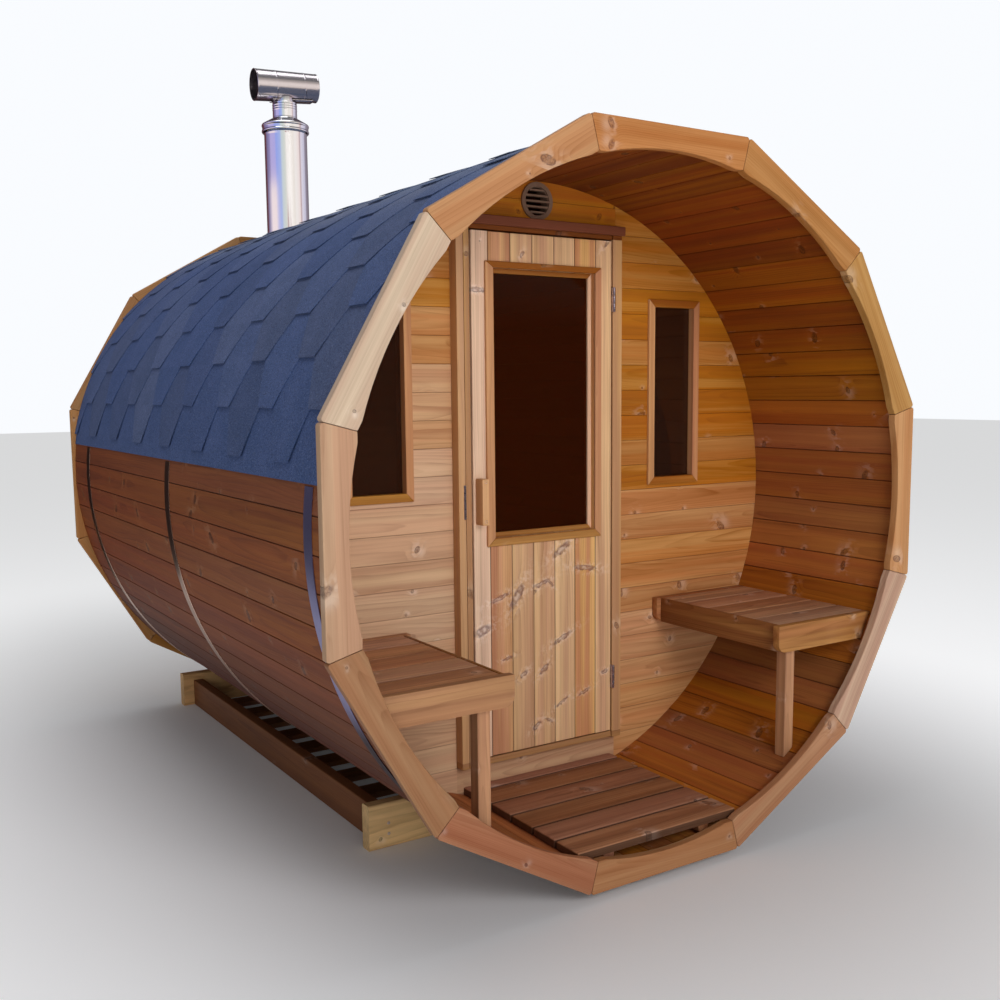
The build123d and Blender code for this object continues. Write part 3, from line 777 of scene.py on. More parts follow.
# knots in the door: x, z, turn, half length, half width
SPIKES = [(73, -189, 34, 36, 8.0), (175, -264, -8, 42, 6.0), (-181, -333, 19, 34, 5.0), (-114, -336, 59, 42, 9.0),
          (-13, -302, 19, 31, 5.0), (25, -304, -48, 18, 3.0), (76, -503, 25, 38, 5.0), (-253, -437, 22, 30, 9.0),
          (-155, -545, 13, 17, 3.5), (-88, -610, 35, 17, 5.0), (-2, -603, 43, 22, 5.0), (73, -734, 30, 27, 3.5),
          (173, -712, 21, 24, 4.0), (-35, -802, 39, 18, 6.0), (17, -791, -25, 16, 3.5), (263, -652, 10, 14, 4.0),
          (-84, 805, 59, 10, 3.5), (274, 867, 48, 22, 4.0), (-258, 683, -1, 26, 4.5)]


def materials():
    M["stave"] = wood("wood_stave", srgb(183, 110, 34), srgb(112, 51, 10), srgb(58, 24, 12), ring_amt=0.4, tone=0.30, red=srgb(168, 86, 30), knots=0.5, rough=0.66, outer=(0.65, 0.53, 0.43), outer_far_shade=(0.60, 0.34, 0.05), fleck=0.12, sat=0.35, joint_shade_amt=0.55, hue_amt=0.010, crown_shade=(0.92, 0.76, 0.50), foot_shade=(0.44, 0.35, 0.18))
    M["ring"] = wood("wood_ring", srgb(203, 158, 116), srgb(152, 99, 62), srgb(100, 58, 44), ring_amt=0.4, tone=0.34, knots=0.5, rough=0.58, sat=-0.5, red=srgb(190, 130, 90), fleck=0.4, joint_shade_amt=0.7, hue_amt=0.05, streak_amt=0.9)
    M["wall"] = wood("wood_wall", srgb(209, 163, 110), srgb(156, 102, 54), srgb(104, 54, 30), ring_amt=0.5, tone=0.30, red=srgb(196, 134, 84), knots=0.42, sat=1.6, fleck=0.4, joint_shade_amt=0.30, hue_amt=0.05, streak_amt=1.0)
    M["frame"] = wood("wood_frame", srgb(206, 158, 104), srgb(156, 102, 58), srgb(108, 62, 46), ring_amt=0.35, tone=0.30, red=srgb(176, 126, 100), knots=0.3, sat=0.5, fleck=0.3)
    M["door"] = wood("wood_door", srgb(228, 184, 132), srgb(152, 98, 60), srgb(112, 70, 66), ring_amt=0.35, tone=0.22, red=srgb(200, 142, 114), knots=0.10, side=0.34, pith=(0.01, 0.05), spacing=0.009, streak_amt=1.15, spike=0.72, fleck=0.4, sat=0.5, spikes=SPIKES, joint_shade_amt=0.62)
    # painted shade: a dark red-brown for the door's head board and the frame head, standing in for the shade under the
    # overhang
    M["head"] = wood("wood_head_shade", srgb(136, 68, 22), srgb(82, 36, 10), srgb(58, 26, 14), ring_amt=0.4, tone=0.05, knots=0.1, fleck=0.1)
    M["trim"] = wood("wood_trim", srgb(206, 154, 102), srgb(148, 94, 56), srgb(96, 54, 36), ring_amt=0.35, tone=0.50, red=srgb(172, 108, 72), knots=0.2, sat=0.5, fleck=0.2)
    M["handle"] = wood("wood_handle", srgb(222, 172, 118), srgb(176, 122, 76), srgb(98, 56, 36), ring_amt=0.35, tone=0.05, knots=0.0)
    M["treated"] = wood("wood_treated", srgb(246, 204, 146), srgb(170, 124, 78), srgb(104, 76, 50), ring_amt=0.7, tone=0.06, knots=0.3, stain=0.35, spacing=0.009)
    M["bearer"] = wood("wood_bearer", srgb(150, 96, 56), srgb(98, 56, 30), srgb(60, 34, 22), ring_amt=0.4, tone=0.08, knots=0.2, stain=0.3, fleck=0.1)
    M["floor"] = wood("wood_floor", srgb(178, 124, 92), srgb(116, 71, 48), srgb(70, 40, 30), ring_amt=0.5, tone=0.14, red=srgb(148, 92, 66), knots=0.4, fleck=0.35, streak_amt=0.9, joint_shade_amt=0.75)
    M["bench"] = wood("wood_bench", srgb(204, 150, 104), srgb(126, 78, 48), srgb(78, 42, 28), ring_amt=0.5, tone=0.26, red=srgb(176, 118, 86), knots=0.45, fleck=0.5, sat=0.7, streak_amt=1.0, joint_shade_amt=0.75)
    M["felt"] = felt("felt_slate", srgb(65, 85, 128), srgb(74, 92, 136), srgb(36, 48, 78))
    M["steel"] = metal("steel_polished", (0.84, 0.83, 0.85), rough=0.07, dent=0.004, spot=0.05)
    M["cowl"] = metal("steel_cowl", (0.64, 0.58, 0.60), rough=0.17, dent=0.0, brushed=0.03, spot=0.10)
    # painted reflections: the front band is tinted lavender-blue for the sky it reflects and turns dark low down as
    # painted shade; the other bands are tinted brown for the wood they reflect, with a pale painted highlight along
    # their front edge
    M["band"] = metal("steel_band", (0.34, 0.33, 0.56), rough=0.42, brushed=0.05, spot=0.20, low=(0.035, 0.018, 0.03))
    M["band_dull"] = metal("steel_band_dull", (0.34, 0.19, 0.12), rough=0.30, brushed=0.05, spot=0.25)
    M["band_edge"] = metal("steel_band_edge", (0.86, 0.62, 0.48), rough=0.25, brushed=0.05, spot=0.10)
    M["hard"] = metal("steel_hardware", (0.62, 0.56, 0.68), rough=0.24, brushed=0.2, scale=2.0)
    M["vent"] = plastic("plastic_vent", srgb(118, 90, 72))
    M["glass"] = glass("glass_tinted", (0.22, 0.046, 0.008))
    M["pane"] = glass("glass_window", (0.20, 0.07, 0.03), 1.50)


def staves():
    step = 360.0 / 70
    half = math.radians(step / 2)
    ro, ri = 1088.0 / math.cos(half), 1052.0 / math.cos(half)
    ch = math.degrees(2.3 / 1088)
    a = -8.386
    for p in range(7):
        pc = Piece("staves_%02d" % (p + 1))
        for k in range(10):
            a0, a1 = a + 0.012, a + step - 0.012
            y0, y1 = 28.0, 2754.0
            am = a + step / 2
            pts = [pol(ri + 3.6, a0, y0), pol(ro - 3.6, a0, y0), pol(ro - 0.15, a0 + ch, y0), pol(ro - 0.15, a1 - ch, y0),
                   pol(ro - 3.6, a1, y0), pol(ri + 3.6, a1, y0), pol(ri + 0.12, a1 - ch, y0), pol(ri + 0.12, a0 + ch, y0)]
            bm = solid(pts, Vector((0, (y1 - y0) / 1000.0, 0)))
            t = math.radians(am)
            radial = Vector((math.cos(t), 0, math.sin(t)))
            tang = Vector((-math.sin(t), 0, math.cos(t)))
            # painted shade: staves higher up get darker, more saturated tones, standing in for the shade under the
            # porch ceiling
            up = min(1.0, max(0.0, (math.sin(t) - 0.25) / 0.6))
            bid = (0.5 + 0.5 * (RND.random() - 0.5) - 0.5 * up, 0.42 + 0.3 * (RND.random() - 0.5) + 0.75 * up, RND.random())
            pc.add(bm, origin=pol(1070, am, 1391), along=Y, across=tang, bid=bid, free=True, seam=1.8)
            a += step
        pc.make(M["stave"], "cabin", "stave_wood", "stave_panel_%02d" % (p + 1))


def rings():
    for name, yc in (("front_ring", 14.0), ("back_ring", 2768.0)):
        pc = Piece(name + "_boards")
        for part in parts_of(node_mesh(name)):
            c = Vector((0, 0, 0))
            for q in part.verts:
                c += q.co
            c /= len(part.verts)
            ang = round(math.degrees(math.atan2(c.z - AXIS, c.x)) / 30) * 30
            t = math.radians(ang)
            radial, tang = Vector((math.cos(t), 0, math.sin(t))), Vector((-math.sin(t), 0, math.cos(t)))
            ease(part, 2.6, 2, angle=40)
            # tones listed one by one: brightness, paleness and warmth of each board
            br, pale, hu = {0: (0.45, 0.29, 0.5), 30: (0.27, 0.15, 0.68), 60: (0.22, 0.12, 0.5), 90: (0.26, 0.06, 0.35),
                            120: (0.35, 0.34, 0.5), 150: (0.74, 1.24, 0.94), 180: (0.43, 0.78, 0.63), 210: (-0.01, 0.41, 0.5),
                            240: (0.07, 0.31, 0.18), 270: (0.10, 0.28, 0.40), 300: (0.26, 0.45, 0.41), 330: (0.60, 0.99, 0.58)}[ang % 360]
            if name == "back_ring":
                br, pale, hu = 0.20 + 0.3 * RND.random(), 0.0 + 0.3 * RND.random(), 0.55

            def seam(co, ang=ang):
                d = math.degrees(math.atan2(co.z - AXIS, co.x)) - ang
                d = abs((d + 180) % 360 - 180)
                return 1.0 if d > 14.97 else 0.0
            pc.add(part, origin=pol(1055, ang, yc), along=tang, across=radial, bid=(br, pale, hu), free=True, seam=seam)
        pc.make(M["ring"], "cabin", "ring_wood", name)


PITCH, OFFSET = 90.3, -5.0


def wall_joints(lo=-1100, hi=1100):
    k0 = int(math.floor((lo - OFFSET) / PITCH))
    out, k = [], k0
    while OFFSET + k * PITCH < hi:
        out.append(OFFSET + k * PITCH)
        k += 1
    out.append(OFFSET + k * PITCH)
    return out


def walls():
    def tone(side):
        def f(lo):
            z = lo + PITCH / 2
            # brightness, strength and warmth by height, taken from how the wall looks in daylight; this is painted
            # light and shade: boards up under the overhang, across the top and on the sill are darker and warmer, those
            # lower down paler where the light falls, and the back wall gets an even tone
            if side == "f":
                br, red, hu = (0.34, 0.62, 0.38) if z > 640 else (0.40, 0.53, 0.42) if z > 430 else (0.56, 0.45, 0.47) if z > 220 else (0.74, 0.38, 0.5) if z > -60 else (0.66, 0.40, 0.5)
            elif side == "g":
                br, red, hu = (0.28, 0.64, 0.36) if z > 560 else (0.19, 0.63, 0.31) if z > 200 else (0.28, 0.61, 0.32) if z > 0 else (0.44, 0.56, 0.36) if z > -480 else (0.62, 0.50, 0.38)
            elif side == "h":
                br, red, hu = 0.20, 1.15, 0.25
            elif side == "s":
                br, red, hu = 0.32, 0.40, 0.42
            else:
                br, red, hu = 0.45, 0.5, 0.45
            j = RND.random() - 0.5, RND.random() - 0.5
            return (br + 0.16 * j[0], red + 0.05 * j[1], hu + 0.06 * (RND.random() - 0.5))
        return f
    for node, side in (("front_wall_left", "f"), ("front_wall_right", "g"), ("front_wall_top", "h"), ("front_wall_sill", "s")):
        pc = Piece(node + "_boards")
        boards_from(node, pc, wall_joints(), "z", X, tone=tone(side))
        pc.make(M["wall"], "cabin", "wall_wood", node)
    pc = Piece("back_wall_boards")
    boards_from("back_wall", pc, wall_joints(), "z", X, tone=tone("b"))
    pc.make(M["wall"], "cabin", "wall_wood", "back_wall")


def mitre_cut(pc, src, outer, inner, bev, tones=None):
    """A frame cut into four boards along its mitres. outer and inner are (x0, x1, z0, z1)."""
    ox0, ox1, oz0, oz1 = outer
    ix0, ix1, iz0, iz1 = inner
    cx, cz = (ix0 + ix1) / 2, (iz0 + iz1) / 2
    corners = {"bl": ((ox0, oz0), (ix0, iz0)), "br": ((ox1, oz0), (ix1, iz0)),
               "tl": ((ox0, oz1), (ix0, iz1)), "tr": ((ox1, oz1), (ix1, iz1))}
    sides = {"l": ("bl", "tl", (ox0, cz)), "r": ("br", "tr", (ox1, cz)), "b": ("bl", "br", (cx, oz0)), "t": ("tl", "tr", (cx, oz1))}
    for s, (c1, c2, keep) in sides.items():
        bm = src.copy()
        for c in (c1, c2):
            (ax, az), (bx, bz) = corners[c]
            nrm = Vector((-(bz - az), 0, (bx - ax))).normalized()
            k = Vector((keep[0] - ax, 0, keep[1] - az))
            if nrm.dot(k) > 0:
                nrm = -nrm
            cut(bm, P(ax, 0, az) - nrm * 0.00015, nrm)
        if s in "lr":
            n = X if s == "l" else -X
            cut(bm, P(cx, 0, cz), n)
            along, across = Z, X
        else:
            n = Z if s == "b" else -Z
            cut(bm, P(cx, 0, cz), n)
            along, across = X, Z
        bmesh.ops.remove_doubles(bm, verts=bm.verts, dist=2e-5)
        bmesh.ops.dissolve_limit(bm, angle_limit=math.radians(0.6), verts=bm.verts, edges=bm.edges)
        bmesh.ops.recalc_face_normals(bm, faces=bm.faces)
        ease(bm, bev)
        bid = tones[s] + (RND.random(),) if tones else (RND.random(), RND.random(), RND.random())
        for part in parts_of(bm):
            pc.add(part, along=along, across=across, bid=bid, free=True)
        bm.free()


def mitred(node, outer, inner, mat, slot, body, bev=1.2, tones=None):
    pc = Piece(node + "_boards")
    src = node_mesh(node)
    mitre_cut(pc, src, outer, inner, bev, tones)
    src.free()
    return pc.make(mat, body, slot, node)


def doorway():
    # frame: two jambs between head and threshold, with their stops
    src = node_mesh("door_frame")
    pc = Piece("door_frame_boards")
    # painted shade: the frame head and the sill get dark tones, and the head the dark head material, standing in for
    # the shade they lie in
    tn = {"head": (0.05, 0.9), "left": (0.58, 0.42), "strip": (0.42, 0.55), "right": (0.58, 0.48), "sill": (0.22, 0.60)}
    for s in ("head", "left", "strip", "right", "sill"):
        bm = src.copy()
        if s == "head":
            cut(bm, P(0, 0, 876.2), -Z)
        elif s == "sill":
            cut(bm, P(0, 0, -882.2), Z)
        else:
            cut(bm, P(0, 0, 875.9), Z)
            cut(bm, P(0, 0, -881.9), -Z)
            if s == "right":
                cut(bm, P(0, 0, 0), -X)
            elif s == "left":
                cut(bm, P(-310.5, 0, 0), X)
            else:
                cut(bm, P(0, 0, 0), X)
                cut(bm, P(-310.1, 0, 0), -X)
        bmesh.ops.remove_doubles(bm, verts=bm.verts, dist=2e-5)
        bmesh.ops.dissolve_limit(bm, angle_limit=math.radians(0.6), verts=bm.verts, edges=bm.edges)
        bmesh.ops.recalc_face_normals(bm, faces=bm.faces)
        ease(bm, 1.5)
        al, ac = (X, Z) if s in ("head", "sill") else (Z, X)
        pc.add(bm, along=al, across=ac, bid=tn[s] + (RND.random(),), mat=1 if s == "head" else 0, free=True)
    src.free()
    pc.make([M["frame"], M["head"]], "cabin", "frame_wood", "door_frame")

    pc = Piece("head_board")
    bm = node_mesh("door_head_board")
    pc.add(bm, along=X, across=Z, free=True)
    pc.make(M["head"], "cabin", "head_board_wood", "door_head_board")

    # leaf: two stiles and five matched boards between them
    pc = Piece("door_leaf_boards")
    j = [-283.5, -218.0, -132.0, -44.5, 44.5, 130.5, 220.5, 292.5]
    tone = {0: (0.98, 0.0), 1: (0.46, 0.60), 2: (0.58, 0.42), 3: (0.50, 0.45), 4: (0.54, 0.40), 5: (0.50, 0.75), 6: (0.66, 0.40)}
    boards_from("door_leaf", pc, j, "x", Z, bev=2.2, gap=0.3,
                tone=lambda lo: tone[min(range(7), key=lambda i: abs(j[i] - lo))] + (RND.random(),))
    pc.make(M["door"], "door", "door_wood", "door_leaf")

    # mitred trim on the face, glazing beads behind and before the glass
    pc = Piece("door_glass_trim_boards")
    for part in parts_of(node_mesh("door_glass_trim")):
        y = sum(q.co.y for q in part.verts) / len(part.verts) - FRONT
        if y < 0.655:
            mitre_cut(pc, part, (-233, 240, -155, 776), (-203, 213, -128, 756), 1.6,
                      {"l": (0.62, 0.45), "r": (0.58, 0.45), "b": (0.28, 0.75), "t": (0.22, 0.95)})
        else:
            # painted light and shade: the right bead is made pale as if lit, the other three dark as the shade of the
            # reveal
            mitre_cut(pc, part, (-203, 213, -128, 756), (-187, 197, -112, 740), 1.2,
                      {"l": (0.2, 0.8), "r": (0.85, 0.05), "b": (0.2, 0.8), "t": (0.1, 0.9)})
        part.free()
    pc.make(M["trim"], "door", "trim_wood", "door_glass_trim")

    # block handle with two screws
    pc = Piece("handle_block")
    bm = block(-274, -249, 605, 650, -78, 74)
    ease(bm, 2.6, 3)
    pc.add(bm, along=Z, across=X, bid=(0.6, 0.3, 0.4), free=True)
    for z in (-65, 65):
        screw(pc, P(-261.5, 605.2, z), -Y, 5.6, 1)
    pc.make([M["handle"], M["hard"]], "door", "handle_wood", "door_handle")

    for s, nm in ((-1, "window_left_frame"), (1, "window_right_frame")):
        xs = sorted((s * 487, s * 729))
        mitred(nm, (xs[0], xs[1], 10, 682), (xs[0] + 27, xs[1] - 27, 37, 655), M["trim"], "trim_wood", "cabin",
               tones={"l": (0.66, 0.5), "r": (0.60, 0.5), "b": (0.26, 0.9), "t": (0.24, 0.9)})
    for nm in ("door_glass", "window_left_glass", "window_right_glass"):
        repaint(nm, M["glass"] if nm == "door_glass" else M["pane"])
    repaint("wall_vent", M["vent"])


def repaint(node, mat):
    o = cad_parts[node]
    if not o.material_slots:
        o.data.materials.append(mat)
    for s in o.material_slots:
        s.material = mat


def hinges():
    """Butt hinges: round knuckles in front, screwed flaps in the gap beside the leaf."""
    for node, body, sgn in (("hinge_frame_halves", "cabin", 1), ("hinge_leaf_halves", "door", -1)):
        pc = Piece(node + "_steel")
        bm = node_mesh(node)
        for part in parts_of(bm):
            ease(part, 0.5, 2, angle=60)
            pc.add(part, along=Z, across=X, smooth=True, free=True)
        bm.free()
        for zc in (670.5, -674.5):
            for dz in (-31, 0, 31):
                for y in (660, 674):
                    if (dz == 0) == (y == 660):
                        continue
                    if sgn > 0:
                        screw(pc, P(294.1, y, zc + dz), -X, 2.8)
                    else:
                        screw(pc, P(292.4, y, zc + dz), X, 2.8)
            if sgn > 0:
                # turned tips of the pin
                for e in (-1, 1):
                    bm = lathe([(0, 2.2), (2.2, 1.9), (3.2, 0.9), (3.4, 0.0), (3.4, -1.0), (0, -1.0)],
                               P(293.5, 640, zc + e * 40.9), Z * e, 20)
                    pc.add(bm, along=Z, across=X, smooth=True, free=True)
        pc.make(M["hard"], body, "hardware_steel", node, sharp=35)
    pc = Piece("strike_plate")
    bm = node_mesh("latch_strike")
    ease(bm, 0.4)
    pc.add(bm, along=Z, across=X, free=True)
    for z in (-46, 42):
        screw(pc, P(-316, 645.9, z), -Y, 2.2)
    pc.make(M["hard"], "cabin", "hardware_steel", "latch_strike")


def floors():
    for name, y0, n, last in (("porch_floor", 38.0, 5, 48.0), ("inside_floor", 736.0, 16, 0.0)):
        pc = Piece(name + "_slats")
        pitch, width, t, half = 120.0, 108.0, 26.0, 313.0
        y1 = y0 + n * pitch - (pitch - width) if not last else y0 + n * pitch + last
        for s in (-1, 1):
            zb = max(-math.sqrt(1052.0 ** 2 - 210.0 ** 2) + 0.5, -977.0 - 26 - 44)
            bm = block(s * 190 - 20, s * 190 + 20, y0 + 12, y1 - 12, zb, -1003.0)
            ease(bm, 1.5)
            pc.add(bm, along=Y, across=X, free=True)
        rows = [(y0 + k * pitch, y0 + k * pitch + width) for k in range(n)]
        if last:
            rows.append((y0 + n * pitch, y1))
        for ya, yb in rows:
            bm = block(-half, half, ya, yb, -1003, -977)
            ease(bm, 5.0, 3, pick=lambda e: all(v.co.z > AXIS - 0.985 for v in e.verts))
            pc.add(bm, along=X, across=Y, free=True, seam=0.5)
            for s in (-1, 1):
                for q in (0.25, 0.75):
                    screw(pc, P(s * 190, ya + (yb - ya) * q, -977.3), Z, 3.6, 1)
        pc.make([M["floor"], M["hard"]], "cabin", "floor_wood", name)


def benches():
    def xr(z, r=1051.6):
        return math.sqrt(r * r - z * z)

    def bar(s, x0, y0, y1, z0, z1):
        """A rail or slat from x0 out to the barrel, its far end cut to the curve."""
        n = 4
        zs = [z1 + (z0 - z1) * i / n for i in range(n + 1)]
        pts = [P(s * x0, y0, z0), P(s * x0, y0, z1)] + [P(s * xr(z), y0, z) for z in zs]
        return solid(pts, Vector((0, (y1 - y0) / 1000.0, 0)))
    for s, side in ((-1, "left"), (1, "right")):
        pc = Piece("bench_%s_boards" % side)
        zt, zr, ztop = -440.0, -505.0, -415.0
        for ya, yb in ((53.0, 81.0), (659.5, 687.5)):
            # rail with its lower inner corner rounded off
            n = 12
            arc = [(518 + 34 - 34 * math.sin(math.pi / 2 * i / n), zr + 30 - 30 * math.cos(math.pi / 2 * i / n)) for i in range(n + 1)]
            zs = [ztop + (zr - ztop) * i / 4 for i in range(5)]
            pts = [P(s * 518, ya, ztop)] + [P(s * xr(z), ya, z) for z in zs] + [P(s * x, ya, z) for x, z in arc]
            bm = solid(pts, Vector((0, (yb - ya) / 1000.0, 0)))
            ease(bm, 2.2, 2, angle=35)
            pc.add(bm, along=X, across=Z, bid=(0.32 if s < 0 else 0.22, 0.50 if s < 0 else 0.68, RND.random()), free=True)
        # board along the inner ends of the slats, rebated to take them
        sec = [(536, zr), (564, zr), (564, zt), (545.5, zt), (545.5, ztop), (536, ztop)]
        bm = solid([P(s * x, 81.0, z) for x, z in sec], Vector((0, 0.5785, 0)))
        ease(bm, 1.5, 2)
        pc.add(bm, along=Y, across=Z, bid=(-0.15, 0.70, RND.random()), free=True)
        pitch = (659.5 - 81.0 + 1.0) / 5
        for k in range(5):
            ya = 84.0 + k * pitch
            yb = ya + pitch - 7.0
            bm = bar(s, 547.5, ya, yb, zt, -415.5)
            ease(bm, 4.5, 3, pick=lambda e: all(v.co.z > AXIS - 0.416 for v in e.verts), angle=35, clamp=False)
            pc.add(bm, along=X, across=Y, bid=(0.42 + 0.2 * RND.random(), 0.25 + 0.3 * RND.random(), RND.random()), free=True, seam=0.5)
            for x in (575.0,):
                for q in (0.28, 0.72):
                    screw(pc, P(s * x, ya + (yb - ya) * q, -415.8), Z, 3.4, 1)
        pc.make([M["bench"], M["hard"]], "cabin", "bench_wood", "bench_" + side)
        pc = Piece("bench_leg_%s_post" % side)
        bm = node_mesh("bench_leg_" + side)
        ease(bm, 2.2, 2, angle=35)
        pc.add(bm, along=Z, across=X, bid=(0.40, 0.45, 0.5), free=True)
        pc.make(M["bench"], "cabin", "bench_wood", "bench_leg_" + side)


def ground_frame():
    for nm in ("cradle_beam_front", "cradle_beam_rear"):
        pc = Piece(nm + "_timber")
        bm = node_mesh(nm)
        ease(bm, 1.5, 1, angle=50)
        pc.add(bm, origin=P(0, 717, -1048), along=X, across=Z, free=True)
        if nm.endswith("front"):
            for s in (-1, 1):
                for z in (-1040, -1076):
                    screw(pc, P(s * 596, 691.9, z), -Y, 5.0, 1)
        else:
            for s in (-1, 1):
                for z in (-1040, -1076):
                    screw(pc, P(s * 596, 2744.1, z), Y, 5.0, 1)
        pc.make([M["treated"], M["hard"]], "cabin", "treated_wood", nm)
    for s, nm in ((-1, "bearer_left"), (1, "bearer_right")):
        pc = Piece(nm + "_timber")
        bm = node_mesh(nm)
        pc.add(bm, along=Y, across=Z, free=True)
        pc.make(M["bearer"], "cabin", "bearer_wood", nm)
    pc = Piece("base_slats_boards")
    for k in range(8):
        y = 1108 + 202 * k
        bm = block(-573, 573, y, y + 95, -1124, -1102)
        ease(bm, 2.5, 2)
        pc.add(bm, along=X, across=Y, free=True)
    pc.make(M["bearer"], "cabin", "bearer_wood", "base_slats")


def bands():
    pc = Piece("steel_bands_strip")
    r0 = 1088.0 / math.cos(math.radians(180 / 70)) + 0.1
    for yc in (110, 1322, 2497):
        bm = bmesh.new()
        rows = []
        a0, a1 = 173.1, 366.9
        n = 150
        prof = [(0.0, -25.0), (1.1, -25.0), (1.6, -24.2), (1.7, -22.0), (1.9, 0.0), (1.7, 22.0), (1.6, 24.2), (1.1, 25.0), (0.0, 25.0)]
        for i in range(n + 1):
            a = a0 + (a1 - a0) * i / n
            rows.append([bm.verts.new(pol(r0 + dr, a, yc + dy)) for dr, dy in prof])
        for i in range(n):
            for j in range(len(prof)):
                k = (j + 1) % len(prof)
                bm.faces.new((rows[i][j], rows[i + 1][j], rows[i + 1][k], rows[i][k]))
        bm.faces.new(rows[0])
        bm.faces.new(list(reversed(rows[-1])))
        bmesh.ops.recalc_face_normals(bm, faces=bm.faces)
        # painted reflections: the front band takes the sky-blue steel, the others the brown steel standing in for the
        # wood they reflect, and their front edge the pale painted highlight
        first = len(pc.mi)
        pc.add(bm, along=Y, across=X, smooth=True, mat=0 if yc == 110 else 1, free=True)
        if yc != 110:
            for i in range(n):
                for j in (0, 1, 2):
                    pc.mi[first + i * len(prof) + j] = 2
    pc.make([M["band"], M["band_dull"], M["band_edge"]], "cabin", "band_steel", "steel_bands", sharp=30)


def shingles():
    R0 = 1089.35
    EAVE, ROW0, EXPO = 137.5, 181.5, 141.2
    PIT, WB = 353.0, 104.0
    Y0, Y1 = 28.6, 2753.4
    T = 2.3
    pc = Piece("roof_shingles_felt")

    def at(side, s, y, r):
        a = math.degrees(s / 1093.0)
        return pol(r, 180 - a if side < 0 else a, y)

    def sheet(side, levels, bid):
        """levels: (s, y0, y1, lift0, lift1) from the lower edge up."""
        bm = bmesh.new()
        top, bot = [], []
        for s, ya, yb, la, lb in levels:
            ym = (ya + yb) / 2
            top.append([bm.verts.new(at(side, s, q, R0 + l + T)) for q, l in ((ya, la), (ym, (la + lb) / 2), (yb, lb))])
            bot.append([bm.verts.new(at(side, s, q, R0 + l)) for q, l in ((ya, la), (ym, (la + lb) / 2), (yb, lb))])
        for i in range(len(levels) - 1):
            for j in range(2):
                bm.faces.new((top[i][j], top[i][j + 1], top[i + 1][j + 1], top[i + 1][j]))
                bm.faces.new((bot[i][j], bot[i + 1][j], bot[i + 1][j + 1], bot[i][j + 1]))
            bm.faces.new((top[i][0], top[i + 1][0], bot[i + 1][0], bot[i][0]))
            bm.faces.new((top[i][2], bot[i][2], bot[i + 1][2], top[i + 1][2]))
        for i in (0, -1):
            for j in range(2):
                f = (top[i][j], bot[i][j], bot[i][j + 1], top[i][j + 1])
                bm.faces.new(f)
        bmesh.ops.recalc_face_normals(bm, faces=bm.faces)
        s0 = levels[0][0]
        pc.add(bm, origin=at(side, s0, (levels[0][1] + levels[0][2]) / 2, R0), along=Y, across=Z if s0 < 1100 else X, bid=bid, smooth=True, free=True)

    def clip(a):
        return max(Y0, min(Y1, a))
    crest = math.pi / 2 * 1093.0
    for side in (-1, 1):
        # starter strip along the eave
        y = Y0
        k = 0
        while y < Y1 - 1:
            ye = min(Y1, y + 1000 - (353 if k == 0 else 0))
            lv = [(EAVE + 186 * i / 6, y, ye, 0.0, 0.0) for i in range(7)]
            sheet(side, lv, (0.62 + 0.1 * RND.random(), 0.95, RND.random()))
            y = ye
            k += 1
        for row in range(11):
            s0 = ROW0 + EXPO * row
            first = 300.0 if row % 2 == 0 else 124.0
            c = first - PIT
            while c - PIT / 2 < Y1:
                lv = []
                l0 = 2 * T + 0.3
                la, lb = (RND.random() * 1.1, RND.random() * 1.1)
                for i in range(6):
                    q = i / 5
                    hw = WB / 2 + (PIT / 2 - WB / 2 - WB / 2) * q
                    base = l0 + (T + 0.15 - l0) * q
                    fade = (1 - q) ** 3
                    lv.append((s0 + EXPO * q, c - hw, c + hw, base + (1.6 + la) * fade, base + (1.6 + lb) * fade))
                nxt = []
                for i in range(6):
                    q = i / 5
                    base = (T + 0.15) * (1 - q)
                    nxt.append((s0 + EXPO + 0.02 + (EXPO + 8) * q, c - PIT / 2, c + PIT / 2, base, base))
                bid = (RND.random(), RND.random(), RND.random())
                for part in (lv, nxt):
                    pl = []
                    for s, ya, yb, a, b in part:
                        if s > crest:
                            continue
                        pl.append((s, clip(ya), clip(yb), a, b))
                    if len(pl) < 2 or all(q[2] - q[1] < 1.0 for q in pl):
                        continue
                    if min(q[2] - q[1] for q in pl) < 0.5:
                        pl = [(s, ya, max(yb, ya + 0.5) if ya < Y1 - 1 else yb, a, b) if yb > ya else (s, min(ya, Y1 - 0.6), min(ya, Y1 - 0.6) + 0.5, a, b) for s, ya, yb, a, b in pl]
                    sheet(side, pl, bid)
                c += PIT
    # ridge caps across the crest
    y = Y0
    while y < Y1 - 1:
        ye = min(Y1, y + 330)
        bm = bmesh.new()
        n = 8
        bid = (RND.random(), RND.random(), RND.random())
        top, bot = [], []
        for i in range(n + 1):
            a = 90 + math.degrees((i / n - 0.5) * 250 / 1093.0)
            for arr, t in ((top, T), (bot, 0.0)):
                arr.append([bm.verts.new(pol(R0 + 2 * T + 1.0 + T * 1.1 * f + t, a, q)) for q, f in ((y, 1.0), (ye, 0.0))])
        for i in range(n):
            bm.faces.new((top[i][0], top[i][1], top[i + 1][1], top[i + 1][0]))
            bm.faces.new((bot[i][0], bot[i + 1][0], bot[i + 1][1], bot[i][1]))
            for j in (0, 1):
                bm.faces.new((top[i][j], top[i + 1][j], bot[i + 1][j], bot[i][j]))
        for i in (0, n):
            bm.faces.new((top[i][0], bot[i][0], bot[i][1], top[i][1]))
        bmesh.ops.recalc_face_normals(bm, faces=bm.faces)
        pc.add(bm, along=Y, across=X, bid=bid, smooth=True, free=True)
        y += 165
